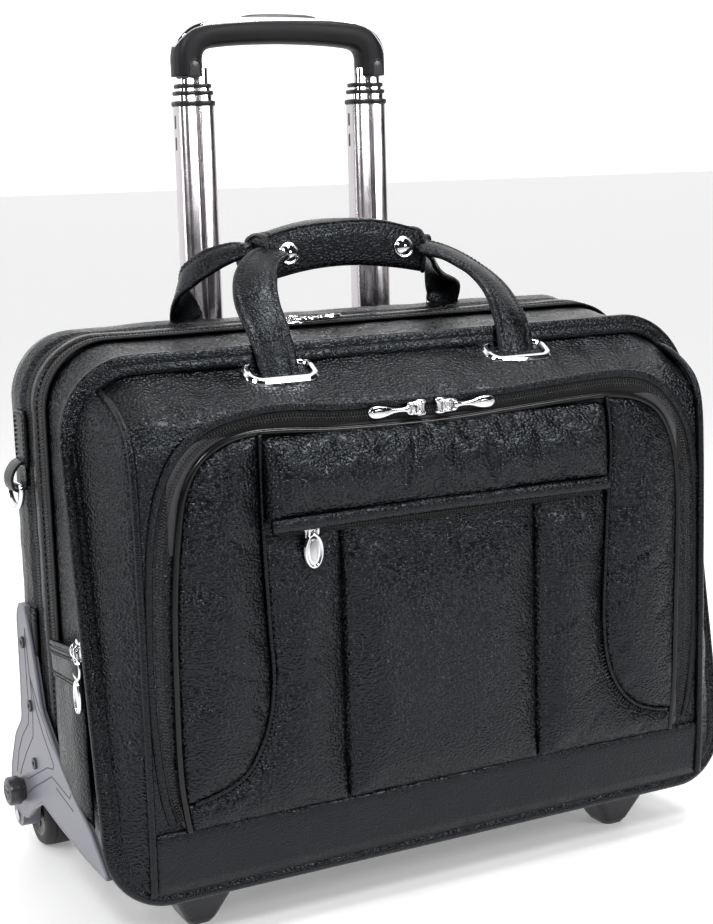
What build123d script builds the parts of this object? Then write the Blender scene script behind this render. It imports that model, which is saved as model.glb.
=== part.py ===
from build123d import *
import os
from math import cos, hypot, radians, sin

os.makedirs("parts", exist_ok=True)

# Rolling laptop case. Millimetres, +Z up, -Y is the front, +X is to the right when
# facing the front. The origin is the bottom centre of the whole case.

# ---- driving dimensions -------------------------------------------------------------
panel_y = -103.25        # plane of the front panel
bag_low = 37.0           # underside of the bag
bag_high = 334.0         # top of the bag
panel_half = 186.0       # half width at the front panel's edge piping
side_half = 197.0        # half width of the recessed gusset
rear_half = 204.0        # half width of the rear compartment
welt_half = 210.0        # half width over the bound welt
wall = 3.5               # leather, foam and lining together

gap = 0.3                # air between neighbours that move apart

guard_inner = 204.0      # inner face of the side guard plate
guard_thick = 3.5
wheel_y, wheel_z = 94.75, 22.5
wheel_radius = 22.5
wheel_inner, wheel_outer = 168.0, 192.0
axle_radius = 4.0

tube_x = 62.0            # trolley tubes, either side of the middle
tube_y = panel_y + 195.0
tube_low = 181.0         # lower end of the first moving stage
collar_low = 469.0       # underside of the first stage's collar

pocket_half = 177.0      # front pocket panel
pocket_low, pocket_high = 75.0, 292.5
pocket_front = panel_y - 6.0

sides = {"left": -1, "right": 1}


def at(depth):
    """Upright plane that faces the front, this far behind the front panel."""
    return Plane.XZ.offset(-(panel_y + depth))


def slanted(low_depth, low_z, high_depth, high_z):
    """Plane that faces the front and leans back from its low line to its high line."""
    rise = hypot(high_depth - low_depth, high_z - low_z)
    back, up = (high_depth - low_depth) / rise, (high_z - low_z) / rise
    return Plane(origin=(0, panel_y + low_depth, low_z), x_dir=(1, 0, 0), z_dir=(0, -up, back))


def outline(half, low, high, top_radius, bottom_radius):
    """Front view of the bag: a rectangle with its own radius for top and bottom corners."""
    with BuildSketch() as face:
        with Locations((0, (low + high) / 2)):
            Rectangle(2 * half, high - low)
        fillet(face.vertices().group_by(Axis.Y)[-1], top_radius)
        fillet(face.vertices().group_by(Axis.Y)[0], bottom_radius)
    return face.sketch


def bag_loft(sections, mode=Mode.ADD):
    """Skin over leaning sections: low depth, low z, high depth, high z, half, radii."""
    faces = []
    for low_depth, low_z, high_depth, high_z, half, top_radius, bottom_radius in sections:
        rise = hypot(high_depth - low_depth, high_z - low_z)
        with BuildSketch(slanted(low_depth, low_z, high_depth, high_z)) as section:
            add(outline(half, 0, rise, top_radius, bottom_radius))
        faces.append(section.sketch.face())
    loft(faces, ruled=True, mode=mode)


def block(x_low, x_high, y_low, y_high, z_low, z_high, mode=Mode.ADD):
    """Straight-sided block between two corners."""
    with BuildSketch(Plane.XY.offset(z_low)) as base:
        with Locations(((x_low + x_high) / 2, (y_low + y_high) / 2)):
            Rectangle(x_high - x_low, y_high - y_low)
    extrude(base.sketch, amount=z_high - z_low, mode=mode)


def ring_band(half, low, high, radius, depth_front, depth_back, thick):
    """Rounded rectangular band that runs all the way round the bag."""
    with BuildSketch(at(depth_back)) as band:
        add(outline(half, low, high, radius, radius - 12))
        add(outline(half - thick, low + thick, high - thick, radius - thick, radius - 12 - thick),
            mode=Mode.SUBTRACT)
    extrude(band.sketch, amount=depth_back - depth_front)


# ---- front compartment --------------------------------------------------------------
front_sections = [
    (0, bag_low + 1, 0, 281, panel_half, 10, 20),
    (1, bag_low, 8, 295, panel_half + 3, 16, 22),
    (2.5, bag_low, 25, 308, 196, 28, 25),
    (4, bag_low, 50, 322, 203, 36, 28),
    (62, bag_low, 62, 330, side_half, 38, 26),
    (98, bag_low, 98, 333, side_half, 38, 26),
    (103, bag_low, 103, bag_high, 201, 40, 28),
]
front_inside = [
    (wall, bag_low + 4, wall, 276, panel_half - 4, 8, 16),
    (9, bag_low + 4, 54, 317, side_half - 5, 34, 22),
    (104, bag_low + 4, 104, 329, side_half - 5, 36, 22),
]
window_half, window_low, window_high = 170.0, 80.0, 272.0

with BuildPart(mode=Mode.PRIVATE) as front_form:
    bag_loft(front_sections)

with BuildPart() as front_shell:
    bag_loft(front_sections)
    bag_loft(front_inside, mode=Mode.SUBTRACT)
    with BuildSketch(at(wall + 1)):
        with Locations((0, (window_low + window_high) / 2)):
            Rectangle(2 * window_half, window_high - window_low)
    extrude(amount=wall + 3, mode=Mode.SUBTRACT)
front_shell.part.label = "front_shell"
export_step(front_shell.part, "parts/front_shell.step")

# The pocket lining is a shallow tray behind the window in the front wall.
with BuildPart() as pocket_lining:
    with BuildSketch(at(wall + 10)):
        with Locations((0, (window_low + window_high) / 2)):
            Rectangle(2 * window_half + 6, window_high - window_low + 6)
    extrude(amount=10)
    with BuildSketch(at(wall + 8)):
        with Locations((0, (window_low + window_high) / 2)):
            Rectangle(2 * window_half + 2, window_high - window_low + 2)
    extrude(amount=9, mode=Mode.SUBTRACT)
pocket_lining.part.label = "pocket_lining"
export_step(pocket_lining.part, "parts/pocket_lining.step")

# Stepped card slots and a row of pen loops on the lining's back wall.
with BuildPart() as organizer:
    for step, slot_high in enumerate((190, 170, 150)):
        with BuildSketch(at(wall + 8 - 1.2 * step)):
            with Locations((-80, (90 + slot_high) / 2)):
                Rectangle(150, slot_high - 90)
        extrude(amount=1.2)
    for pen in range(4):
        with BuildSketch(at(wall + 8)):
            with Locations((40 + 24 * pen, 150)):
                Rectangle(16, 40)
        extrude(amount=4)
organizer.part.label = "organizer"
export_step(organizer.part, "parts/organizer.step")

# Welt: a flat bound flange that leans back with the shoulder.
welt_low, welt_high, welt_thick = 34.0, 330.0, 6.0
welt_plane = slanted(3.3, welt_low, 51.5, welt_high)
welt_rise = hypot(51.5 - 3.3, welt_high - welt_low)
with BuildPart() as welt:
    with BuildSketch(welt_plane.offset(-welt_thick / 2)):
        add(outline(welt_half, 0, welt_rise, 42, 34))
        add(outline(190, 16, welt_rise - 9, 30, 22), mode=Mode.SUBTRACT)
    extrude(amount=welt_thick)
    add(front_form.part, mode=Mode.SUBTRACT)
welt.part.label = "welt"
export_step(welt.part, "parts/welt.step")

# Rim: the fixed side of the pocket's zip, a raised frame round the pocket panel.
rim_low, rim_high = 70.5, 298.5
with BuildPart() as pocket_rim:
    with BuildSketch(at(12)):
        add(outline(183, rim_low, rim_high, 34, 8))
        add(outline(pocket_half + gap, pocket_low - gap, pocket_high + gap, 28, 4), mode=Mode.SUBTRACT)
    extrude(amount=15.5)
    add(front_form.part, mode=Mode.SUBTRACT)
pocket_rim.part.label = "pocket_rim"
export_step(pocket_rim.part, "parts/pocket_rim.step")

with BuildPart() as side_pockets:
    for side in sides.values():
        block(side * 200.2 - 3, side * 200.2 + 3, panel_y + 40, panel_y + 100, 60, 160)
    add(front_form.part, mode=Mode.SUBTRACT)
side_pockets.part.label = "side_pockets"
export_step(side_pockets.part, "parts/side_pockets.step")

with BuildPart() as file_dividers:
    for depth in (42, 62, 82):
        with BuildSketch(at(depth + 1.5)):
            with Locations((0, (41 + 285) / 2)):
                Rectangle(2 * 165, 285 - 41)
            fillet(vertices().group_by(Axis.Y)[-1], 20)
        extrude(amount=1.5)
file_dividers.part.label = "file_dividers"
export_step(file_dividers.part, "parts/file_dividers.step")

band_low, band_high = bag_low + 1, bag_high
with BuildPart() as front_zip:
    ring_band(202.5, band_low, band_high, 40, 103, 105.6, 6)
front_zip.part.label = "front_zip"
export_step(front_zip.part, "parts/front_zip.step")

# ---- divider between the two compartments -------------------------------------------
with BuildPart() as divider_band:
    ring_band(202.5, band_low, band_high, 40, 106, 126, 4)
divider_band.part.label = "divider_band"
export_step(divider_band.part, "parts/divider_band.step")

with BuildPart() as divider_board:
    with BuildSketch(at(118)):
        add(outline(202.5 - 4, band_low + 4, band_high - 4, 36, 24))
    extrude(amount=5)
divider_board.part.label = "divider_board"
export_step(divider_board.part, "parts/divider_board.step")

with BuildPart() as rear_zip:
    ring_band(202.5, band_low, band_high, 40, 126, 128.6, 6)
rear_zip.part.label = "rear_zip"
export_step(rear_zip.part, "parts/rear_zip.step")

# ---- rear compartment and the hard frame --------------------------------------------
rear_sections = [
    (129, bag_low, 129, 335, rear_half, 40, 28),
    (157, bag_low, 157, 338, rear_half, 40, 28),
    (167, bag_low + 3, 167, 328, 193, 34, 22),
]
rear_inside = [
    (128, bag_low + 4, 128, 331, rear_half - 4, 36, 24),
    (156, bag_low + 4, 156, 333, rear_half - 4, 36, 24),
    (163, bag_low + 6, 163, 325, 190, 32, 20),
]
with BuildPart() as rear_shell:
    bag_loft(rear_sections)
    bag_loft(rear_inside, mode=Mode.SUBTRACT)
rear_shell.part.label = "rear_shell"
export_step(rear_shell.part, "parts/rear_shell.step")

# The laptop sleeve is an open-topped padded pouch against the back wall.
sleeve_half, sleeve_low, sleeve_high = 186.0, 44.0, 285.0
with BuildPart() as laptop_sleeve:
    block(-sleeve_half, sleeve_half, panel_y + 133, panel_y + 162.7, sleeve_low, sleeve_high)
    fillet(laptop_sleeve.edges().filter_by(Axis.Y).group_by(Axis.Z)[0], 24)
    block(-sleeve_half + 5, sleeve_half - 5, panel_y + 138, panel_y + 158, sleeve_low + 5,
          sleeve_high + 1, mode=Mode.SUBTRACT)
laptop_sleeve.part.label = "laptop_sleeve"
export_step(laptop_sleeve.part, "parts/laptop_sleeve.step")

board_front, board_back = panel_y + 167.3, panel_y + 171
with BuildPart() as back_board:
    with BuildSketch(Plane.XZ.offset(-board_back)):
        add(outline(183, 36, 318, 26, 14))
    extrude(amount=board_back - board_front)
back_board.part.label = "back_board"
export_step(back_board.part, "parts/back_board.step")

tray_low, tray_high = 28.0, 35.5
with BuildPart() as base_tray:
    block(-182, 182, panel_y + 14, board_back, tray_low, tray_high)
    fillet(base_tray.edges().filter_by(Axis.Z).group_by(Axis.Y)[0], 16)
    for rib in range(-3, 4):
        block(rib * 46 - 3, rib * 46 + 3, panel_y + 24, board_back - 14, tray_low - 3, tray_low)
base_tray.part.label = "base_tray"
export_step(base_tray.part, "parts/base_tray.step")

# ---- side guards with their wheel forks ---------------------------------------------
knob_y, knob_z = panel_y + 170.5, 50.0
shank_radius = 3.0
guard_outline = [
    (15, 46), (48, 46), (97, 50), (131, 54), (150, 44), (166, 33), (179, 31), (188, 33),
    (196, 47), (192, 61), (179, 84), (163, 98), (161, 126), (160, 165), (155, 174),
    (143, 174), (133, 148), (122, 114), (92, 91), (64, 75), (41, 65),
]


def side_guard(side):
    with BuildPart() as guard:
        plate_plane = Plane.YZ.offset(side * guard_inner)
        with BuildSketch(plate_plane):
            with BuildLine():
                Polyline(*[(panel_y + depth, height) for depth, height in guard_outline], close=True)
            make_face()
            fillet(vertices().sort_by_distance((panel_y + 157, 174))[:2], 4)
        extrude(amount=side * guard_thick)
        with BuildSketch(plate_plane):
            with BuildLine():
                Polyline((board_back + 1, 84), (board_back + 1, 41), (wheel_y - 2, 41),
                         (wheel_y - 2, 50), (panel_y + 191, 60), (panel_y + 178.5, 83), close=True)
            make_face()
        extrude(amount=-side * (guard_inner - 163.5))
        for cheek_x, inward in ((wheel_outer + 0.8, guard_inner - wheel_outer - 0.8), (163.5, 3.7)):
            with BuildSketch(Plane.YZ.offset(side * cheek_x)):
                with BuildLine():
                    Polyline((wheel_y - 16, 42), (wheel_y - 9, 17), (wheel_y + 9, 17),
                             (wheel_y + 9, 28), (wheel_y - 2, 50), (wheel_y - 16, 50), close=True)
                make_face()
                fillet(vertices().group_by(Axis.Y)[0], 7)
            extrude(amount=side * inward)
        with BuildSketch(Plane.YZ.offset(side * (wheel_inner - gap))):
            with Locations((wheel_y, wheel_z)):
                Circle(wheel_radius + 3)
        extrude(amount=side * (wheel_outer - wheel_inner + 2 * gap), mode=Mode.SUBTRACT)
        with BuildSketch(Plane.YZ.offset(side * 160)):
            with Locations((wheel_y, wheel_z)):
                Circle(axle_radius)
        extrude(amount=side * 50, mode=Mode.SUBTRACT)
        with BuildSketch(Plane.YZ.offset(side * 199)):
            with Locations((knob_y, knob_z)):
                Circle(8)
        extrude(amount=side * (guard_inner - 199))
        with BuildSketch(Plane.YZ.offset(side * 185)):
            with Locations((knob_y, knob_z)):
                Circle(shank_radius + 0.05)
        extrude(amount=side * 30, mode=Mode.SUBTRACT)
    return guard


for side_name, side in sides.items():
    guard = side_guard(side)
    guard.part.label = f"side_guard_{side_name}"
    export_step(guard.part, f"parts/side_guard_{side_name}.step")

guard_screw_places = [(panel_y + 150, 150), (panel_y + 142, 112), (panel_y + 140, 76)]
with BuildPart() as guard_screws:
    for side in sides.values():
        for screw_y, screw_z in guard_screw_places:
            with BuildSketch(Plane.YZ.offset(side * (guard_inner + guard_thick))):
                with Locations((screw_y, screw_z)):
                    Circle(3.6)
                    RegularPolygon(1.6, 6, mode=Mode.SUBTRACT)
            extrude(amount=side * 1.4)
guard_screws.part.label = "guard_screws"
export_step(guard_screws.part, "parts/guard_screws.step")

# ---- wheels and feet ----------------------------------------------------------------
with BuildPart() as wheel_axles:
    for side in sides.values():
        with BuildSketch(Plane.YZ.offset(side * 163.5)):
            with Locations((wheel_y, wheel_z)):
                Circle(axle_radius)
        extrude(amount=side * (guard_inner + 1 - 163.5))
wheel_axles.part.label = "wheel_axles"
export_step(wheel_axles.part, "parts/wheel_axles.step")

hub_radius = 15.0
for side_name, side in sides.items():
    with BuildPart() as wheel_tyre:
        with BuildSketch(Plane.XY.offset(wheel_z)):
            with BuildLine():
                Polyline((side * wheel_inner, wheel_y + hub_radius),
                         (side * wheel_inner, wheel_y + wheel_radius - 6),
                         (side * (wheel_inner + 6), wheel_y + wheel_radius),
                         (side * (wheel_outer - 6), wheel_y + wheel_radius),
                         (side * wheel_outer, wheel_y + wheel_radius - 6),
                         (side * wheel_outer, wheel_y + hub_radius), close=True)
            make_face()
            fillet(vertices().group_by(Axis.Y)[-1], 5)
        revolve(axis=Axis((0, wheel_y, wheel_z), (1, 0, 0)))
    wheel_tyre.part.label = f"wheel_tyre_{side_name}"
    export_step(wheel_tyre.part, f"parts/wheel_tyre_{side_name}.step")

    with BuildPart() as wheel_hub:
        with BuildSketch(Plane.YZ.offset(side * (wheel_inner + 1))):
            with Locations((wheel_y, wheel_z)):
                Circle(hub_radius)
                Circle(axle_radius + 0.08, mode=Mode.SUBTRACT)
                with PolarLocations(10, 5):
                    Circle(2.2, mode=Mode.SUBTRACT)
        extrude(amount=side * (wheel_outer - wheel_inner - 2))
    wheel_hub.part.label = f"wheel_hub_{side_name}"
    export_step(wheel_hub.part, f"parts/wheel_hub_{side_name}.step")

foot_x, foot_y = 146.0, panel_y + 43.0
for side_name, side in sides.items():
    with BuildPart() as foot:
        for height, wide, deep in ((tray_low, 36, 40), (19, 35, 37), (3, 19, 25), (0, 15, 21)):
            with BuildSketch(Plane.XY.offset(height)):
                with Locations((side * foot_x, foot_y)):
                    RectangleRounded(wide, deep, 5)
        loft(ruled=True)
        for rib in range(-3, 4):
            block(rib * 46 - 3, rib * 46 + 3, panel_y + 24, board_back - 14, tray_low - 3, tray_low,
                  mode=Mode.SUBTRACT)
    foot.part.label = f"front_foot_{side_name}"
    export_step(foot.part, f"parts/front_foot_{side_name}.step")

# ---- release knobs: pulled outward to free the wheeled frame --------------------------
knob_inner = guard_inner + guard_thick + gap
for side_name, side in sides.items():
    with BuildPart() as knob:
        with BuildSketch(Plane.YZ.offset(side * knob_inner)):
            with Locations((knob_y, knob_z)):
                RegularPolygon(8.6, 8)
        extrude(amount=side * (218 - knob_inner))
        chamfer(knob.faces().sort_by(Axis.X)[-1 if side > 0 else 0].edges(), 1.8)
        with BuildSketch(Plane.YZ.offset(side * 199.5)):
            with Locations((knob_y, knob_z)):
                Circle(shank_radius)
        extrude(amount=side * (knob_inner - 199.5))
    knob.part.label = f"release_knob_{side_name}"
    export_step(knob.part, f"parts/release_knob_{side_name}.step")

# ---- telescopic trolley -------------------------------------------------------------
# Each tube: outside width and depth, wall, lower end, upper end.
tube_sizes = {
    "base": (28.6, 19.6, 1.7, 42.0, 305.0),
    "stage1": (25.0, 16.0, 1.4, tube_low, collar_low),
    "stage2": (22.0, 13.0, 1.5, tube_low + 6, collar_low + 9),
    "stage3": (18.8, 9.8, 1.3, tube_low + 12, collar_low + 16),
    "stage4": (16.0, 7.0, 1.2, tube_low + 18, 508.0),
}


def tube_outline(width, deep):
    """Two lobes side by side with a shallow groove down the middle of each face."""
    with BuildSketch() as face:
        RectangleRounded(width, deep, deep * 0.3)
        with Locations((0, deep / 2 + 1.2), (0, -deep / 2 - 1.2)):
            Circle(1.8, mode=Mode.SUBTRACT)
    return face.sketch


def tube_pair(width, deep, thick, low, high):
    with BuildPart() as tubes:
        for side in sides.values():
            with BuildSketch(Plane(origin=(side * tube_x, tube_y, low))):
                add(tube_outline(width, deep))
                RectangleRounded(width - 2 * thick, deep - 2 * thick, deep * 0.2, mode=Mode.SUBTRACT)
            extrude(amount=high - low)
    return tubes


def collar_pair(tube, inner, low, high, lip):
    """Plastic guide rings on top of one stage, a running fit round the next stage."""
    with BuildPart() as collars:
        for side in sides.values():
            with BuildSketch(Plane(origin=(side * tube_x, tube_y, low))):
                RectangleRounded(tube[0] + lip, tube[1] + lip, tube[1] * 0.3)
                RectangleRounded(inner[0] + 0.2, inner[1] + 0.2, inner[1] * 0.3, mode=Mode.SUBTRACT)
            extrude(amount=high - low)
            fillet(collars.edges().group_by(Axis.Z)[-1], 0.6)
    return collars


# The two inner stages carry their thin collars in the same node.
collar_rows = {
    "base": ("stage1", 305.0, 311.0, 5.0),
    "stage1": ("stage2", collar_low, collar_low + 4.5, 1.6),
    "stage2": ("stage3", collar_low + 9, collar_low + 12, 1.6),
    "stage3": ("stage4", collar_low + 16, collar_low + 18.5, 1.6),
}
for stage, size in tube_sizes.items():
    tubes = tube_pair(*size)
    if stage in collar_rows:
        inner_stage, low, high, lip = collar_rows[stage]
        collars = collar_pair(size, tube_sizes[inner_stage], low, high, lip)
        if stage in ("base", "stage1"):
            collars.part.label = f"trolley_{stage}_collars"
            export_step(collars.part, f"parts/trolley_{stage}_collars.step")
        else:
            tubes.part = Compound(children=tubes.part.solids() + collars.part.solids())
    tubes.part.label = f"trolley_{stage}_tubes"
    export_step(tubes.part, f"parts/trolley_{stage}_tubes.step")

base_face = tube_y - tube_sizes["base"][1] / 2
with BuildPart() as tube_brackets:
    for low in (44, 284):
        block(-88, 88, board_back, base_face, low, low + 16)
        for side in sides.values():
            block(side * tube_x - 18, side * tube_x - 14.5, base_face, tube_y + 8, low, low + 16)
            block(side * tube_x + 14.5, side * tube_x + 18, base_face, tube_y + 8, low, low + 16)
tube_brackets.part.label = "tube_brackets"
export_step(tube_brackets.part, "parts/tube_brackets.step")

cover_back = tube_y + 13.0
with BuildPart() as trolley_cover:
    block(-100, 100, board_back, cover_back, 38, 304)
    fillet(trolley_cover.edges().filter_by(Axis.Z).group_by(Axis.Y)[-1], 10)
    block(-97, 97, board_back - 1, cover_back - 2.5, 41, 305, mode=Mode.SUBTRACT)
trolley_cover.part.label = "trolley_cover"
export_step(trolley_cover.part, "parts/trolley_cover.step")

# ---- trolley grip -------------------------------------------------------------------
grip_half, grip_top, grip_deep = 75.0, 524.0, 18.0
leg_low = 487.8
with BuildPart() as trolley_grip:
    with BuildSketch(Plane.XZ.offset(-(tube_y + grip_deep / 2))):
        with BuildLine():
            Line((-72, leg_low), (-grip_half, 507))
            Spline((-grip_half, 507), (-56, 521), (0, grip_top), (56, 521), (grip_half, 507),
                   tangents=((0.1, 1), (0.1, -1)))
            Line((grip_half, 507), (72, leg_low))
            Line((72, leg_low), (51, leg_low))
            Line((51, leg_low), (50, 497))
            ThreePointArc((50, 497), (46, 503), (40, 505))
            ThreePointArc((40, 505), (0, 507), (-40, 505))
            ThreePointArc((-40, 505), (-46, 503), (-50, 497))
            Line((-50, 497), (-51, leg_low))
            Line((-51, leg_low), (-72, leg_low))
        make_face()
    extrude(amount=grip_deep)
    for side in sides.values():
        block(side * tube_x - 8, side * tube_x + 8, tube_y - 3.5, tube_y + 3.5, leg_low - 1, 508,
              mode=Mode.SUBTRACT)
    block(-28.4, 28.4, tube_y - 5.4, tube_y + 5.4, 514, 530, mode=Mode.SUBTRACT)
trolley_grip.part.label = "trolley_grip"
export_step(trolley_grip.part, "parts/trolley_grip.step")

with BuildPart() as grip_inlay:
    with BuildSketch(Plane.XZ.offset(-(tube_y - grip_deep / 2))):
        with BuildLine():
            Spline((-73, 508), (-54, 520.4), (0, 522.6), (54, 520.4), (73, 508))
            Line((73, 508), (70, 507))
            Spline((70, 507), (50, 516), (0, 518), (-50, 516), (-70, 507))
            Line((-70, 507), (-73, 508))
        make_face()
    extrude(amount=1.2)
grip_inlay.part.label = "grip_inlay"
export_step(grip_inlay.part, "parts/grip_inlay.step")

with BuildPart() as grip_button:
    with BuildSketch(Plane.XZ.offset(-(tube_y + 5))):
        with BuildLine():
            Line((-28, 518), (-28, 522.5))
            ThreePointArc((-28, 522.5), (0, 527), (28, 522.5))
            Line((28, 522.5), (28, 518))
            Line((28, 518), (-28, 518))
        make_face()
    extrude(amount=10)
grip_button.part.label = "grip_button"
export_step(grip_button.part, "parts/grip_button.step")

# ---- carry handles ------------------------------------------------------------------
strap_wide, strap_thick = 25.0, 3.6
bar_z = 379.0


def strap(points, thick=strap_thick, wide=strap_wide):
    """Flat strap through section centres: x, y, z, turn of its width about Z in degrees."""
    for start, end in zip(points, points[1:]):
        run = Vector(*end[:3]) - Vector(*start[:3])
        faces = []
        for x, y, z, turn in (start, end):
            across = Vector(cos(radians(turn)), sin(radians(turn)), 0)
            across = across - run.normalized() * across.dot(run.normalized())
            with BuildSketch(Plane(origin=(x, y, z), x_dir=across, z_dir=run)) as section:
                Rectangle(wide, thick)
            faces.append(section.sketch.face())
        loft(faces, ruled=True)


root_depth, root_z = 39.0, 319.0
front_strap_points = [
    (81, root_depth, root_z, 0), (84, 51, 338, 0), (80, 71, 355, 8), (64, 95, 370, 20),
]
with BuildPart() as front_straps:
    for side in sides.values():
        strap([(side * x, panel_y + depth, z, side * turn) for x, depth, z, turn in front_strap_points])
        with BuildSketch(Plane.YZ.offset(side * 81 - strap_wide / 2)):
            with Locations((panel_y + root_depth, root_z)):
                Circle(2)
        extrude(amount=strap_wide)
front_straps.part.label = "front_straps"
export_step(front_straps.part, "parts/front_straps.step")

wrap_front, wrap_mid, wrap_back = panel_y + 101, panel_y + 116.5, panel_y + 131
with BuildPart() as handle_wrap:
    block(-70, 70, wrap_front, wrap_mid, bar_z - 13, bar_z + 13)
    block(-56, 56, wrap_mid, wrap_back, bar_z + 10, bar_z + 13)
    fillet(handle_wrap.edges().filter_by(Axis.X).group_by(Axis.Y)[0], 5)
handle_wrap.part.label = "handle_wrap"
export_step(handle_wrap.part, "parts/handle_wrap.step")

with BuildPart() as handle_snaps:
    for side in sides.values():
        with BuildSketch(Plane.XZ.offset(-wrap_front)):
            with Locations((side * 40, bar_z)):
                Circle(6.8)
        extrude(amount=2.6)
    fillet(handle_snaps.faces().sort_by(Axis.Y)[:2].edges(), 1.6)
handle_snaps.part.label = "handle_snaps"
export_step(handle_snaps.part, "parts/handle_snaps.step")

rear_strap_points = [
    (88, 150, 339.4, 0), (92, 143, 352, 12), (84, 134, 366, 25), (66, 126.5, 376, 30),
]
with BuildPart() as rear_handle:
    for side in sides.values():
        strap([(side * x, panel_y + depth, z, side * -turn) for x, depth, z, turn in rear_strap_points],
              wide=20)
    block(-68, 68, wrap_mid + 1, wrap_mid + 13, bar_z - 9, bar_z + 9)
rear_handle.part.label = "rear_handle"
export_step(rear_handle.part, "parts/rear_handle.step")

grommet_plane = slanted(25, 308, 50, 322)
grommet_rise = hypot(25, 14) * (root_depth - 25) / 25


def grommet(plane, x, y):
    """Slotted eyelet with clipped corners, seen square on."""
    with BuildSketch(plane) as eyelet:
        with BuildLine():
            Polyline((x - 23, y), (x - 17, y - 9), (x + 17, y - 9), (x + 23, y),
                     (x + 17, y + 9), (x - 17, y + 9), close=True)
        make_face()
        with Locations((x, y)):
            Rectangle(30, 10, mode=Mode.SUBTRACT)
    extrude(eyelet.sketch, amount=2.4)


with BuildPart() as front_grommets:
    for side in sides.values():
        grommet(Plane(origin=grommet_plane.origin, x_dir=(1, 0, 0),
                      z_dir=(0, -14 / hypot(25, 14), 25 / hypot(25, 14))), side * 81, grommet_rise)
front_grommets.part.label = "front_grommets"
export_step(front_grommets.part, "parts/front_grommets.step")

# ---- zip sliders and pulls ----------------------------------------------------------


def zip_slider(plane):
    """Slider on a face. Local x runs along the zip, local z stands out from the face."""
    with BuildPart() as slider:
        with BuildSketch(plane):
            RectangleRounded(11, 9, 2)
        extrude(amount=2)
        with BuildSketch(plane.offset(2)):
            with Locations((0, 3.2), (0, -3.2)):
                RectangleRounded(6, 1.6, 0.5)
        extrude(amount=3)
        with BuildSketch(Plane(origin=plane.from_local_coords((0, -3.2, 3.4)), x_dir=plane.x_dir,
                               z_dir=plane.y_dir)):
            Circle(0.8)
        extrude(amount=6.4)
    return slider


def pull_tab(plane, length, width):
    """Flat pull that lies along local +x from the slider's pin."""
    with BuildPart() as tab:
        with BuildSketch(plane.offset(2.6)):
            with Locations((length / 2 - 1, 0)):
                RectangleRounded(length, 4.2, 1.4)
            with Locations((length * 0.72, 0)):
                RectangleRounded(length * 0.5, width, 1.8)
        extrude(amount=1.6)
        eye_plane = Plane(origin=plane.from_local_coords((0, -2.1, 3.4)), x_dir=plane.x_dir,
                          z_dir=plane.y_dir)
        with BuildSketch(eye_plane):
            Circle(1.35)
        extrude(amount=4.2)
        with BuildSketch(eye_plane):
            Circle(0.86)
        extrude(amount=4.2, mode=Mode.SUBTRACT)
    return tab


front_slider_face = pocket_front - gap
pull_places = {
    "pocket_slider_left": Plane((-17, front_slider_face, 293), x_dir=(-1, 0, 0), z_dir=(0, -1, 0)),
    "pocket_slider_right": Plane((1.5, front_slider_face, 293), x_dir=(1, 0, 0), z_dir=(0, -1, 0)),
    "flap_slider": Plane((-87, front_slider_face, 233), x_dir=(0, 0, -1), z_dir=(0, -1, 0)),
    "top_slider": Plane((-40, panel_y + 103.5, bag_high + gap), x_dir=(1, 0, 0), z_dir=(0, 0, 1)),
    "side_slider_left": Plane((-203.3, panel_y + 50, 168), x_dir=(0, 0, -1), z_dir=(-1, 0, 0)),
    "side_slider_right": Plane((203.3, panel_y + 50, 168), x_dir=(0, 0, -1), z_dir=(1, 0, 0)),
}
# Pull name, length and width for each slider.
pull_sizes = {
    "pocket_slider_left": ("pocket_pull_left", 33, 7.5),
    "pocket_slider_right": ("pocket_pull_right", 33, 7.5),
    "flap_slider": ("flap_pull", 23, 14.5),
    "top_slider": ("top_pull", 27, 8),
    "side_slider_left": ("side_pull_left", 30, 11),
    "side_slider_right": ("side_pull_right", 30, 11),
}
side_slider_solids = []
for slider_name, slider_plane in pull_places.items():
    slider = zip_slider(slider_plane)
    if slider_name.startswith("side"):
        side_slider_solids += slider.part.solids()
    else:
        slider.part.label = slider_name
        export_step(slider.part, f"parts/{slider_name}.step")
    pull_name, pull_length, pull_width = pull_sizes[slider_name]
    pull = pull_tab(slider_plane, pull_length, pull_width)
    pull.part.label = pull_name
    export_step(pull.part, f"parts/{pull_name}.step")

side_sliders = Compound(label="side_sliders", children=side_slider_solids)
export_step(side_sliders, "parts/side_sliders.step")

# ---- front pocket panel -------------------------------------------------------------
with BuildPart() as pocket_panel:
    with BuildSketch(at(-1)):
        add(outline(pocket_half, pocket_low, pocket_high, 28, 3))
    extrude(amount=5)
pocket_panel.part.label = "pocket_panel"
export_step(pocket_panel.part, "parts/pocket_panel.step")

# The flap's lower edge hangs clear of the pleats, and its zip runs behind that edge.
flap_front = pocket_front - 8.0
with BuildPart() as pocket_flap:
    block(-114, 111, flap_front, pocket_front, 236, 286)
    block(-115, 112, flap_front + 2.3, pocket_front + 1, 235, 241, mode=Mode.SUBTRACT)
    fillet(pocket_flap.edges().filter_by(Axis.X).group_by(Axis.Y)[0].sort_by(Axis.Z)[-1], 3)
pocket_flap.part.label = "pocket_flap"
export_step(pocket_flap.part, "parts/pocket_flap.step")

# ---- shoulder strap rings -----------------------------------------------------------
ring_y, ring_z, ring_x = panel_y + 138.5, 250.0, 209.5
wire = 1.8
with BuildPart() as ring_tabs:
    for side in sides.values():
        block(side * 208.7 - 4.7, side * 208.7 + 4.7, ring_y - 8, ring_y + 8, ring_z - 5, ring_z + 13)
        with BuildSketch(Plane.XZ.offset(-(ring_y + 9))):
            with Locations((side * ring_x, ring_z)):
                Circle(wire + 0.08)
        extrude(amount=18, mode=Mode.SUBTRACT)
ring_tabs.part.label = "ring_tabs"
export_step(ring_tabs.part, "parts/ring_tabs.step")

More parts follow.
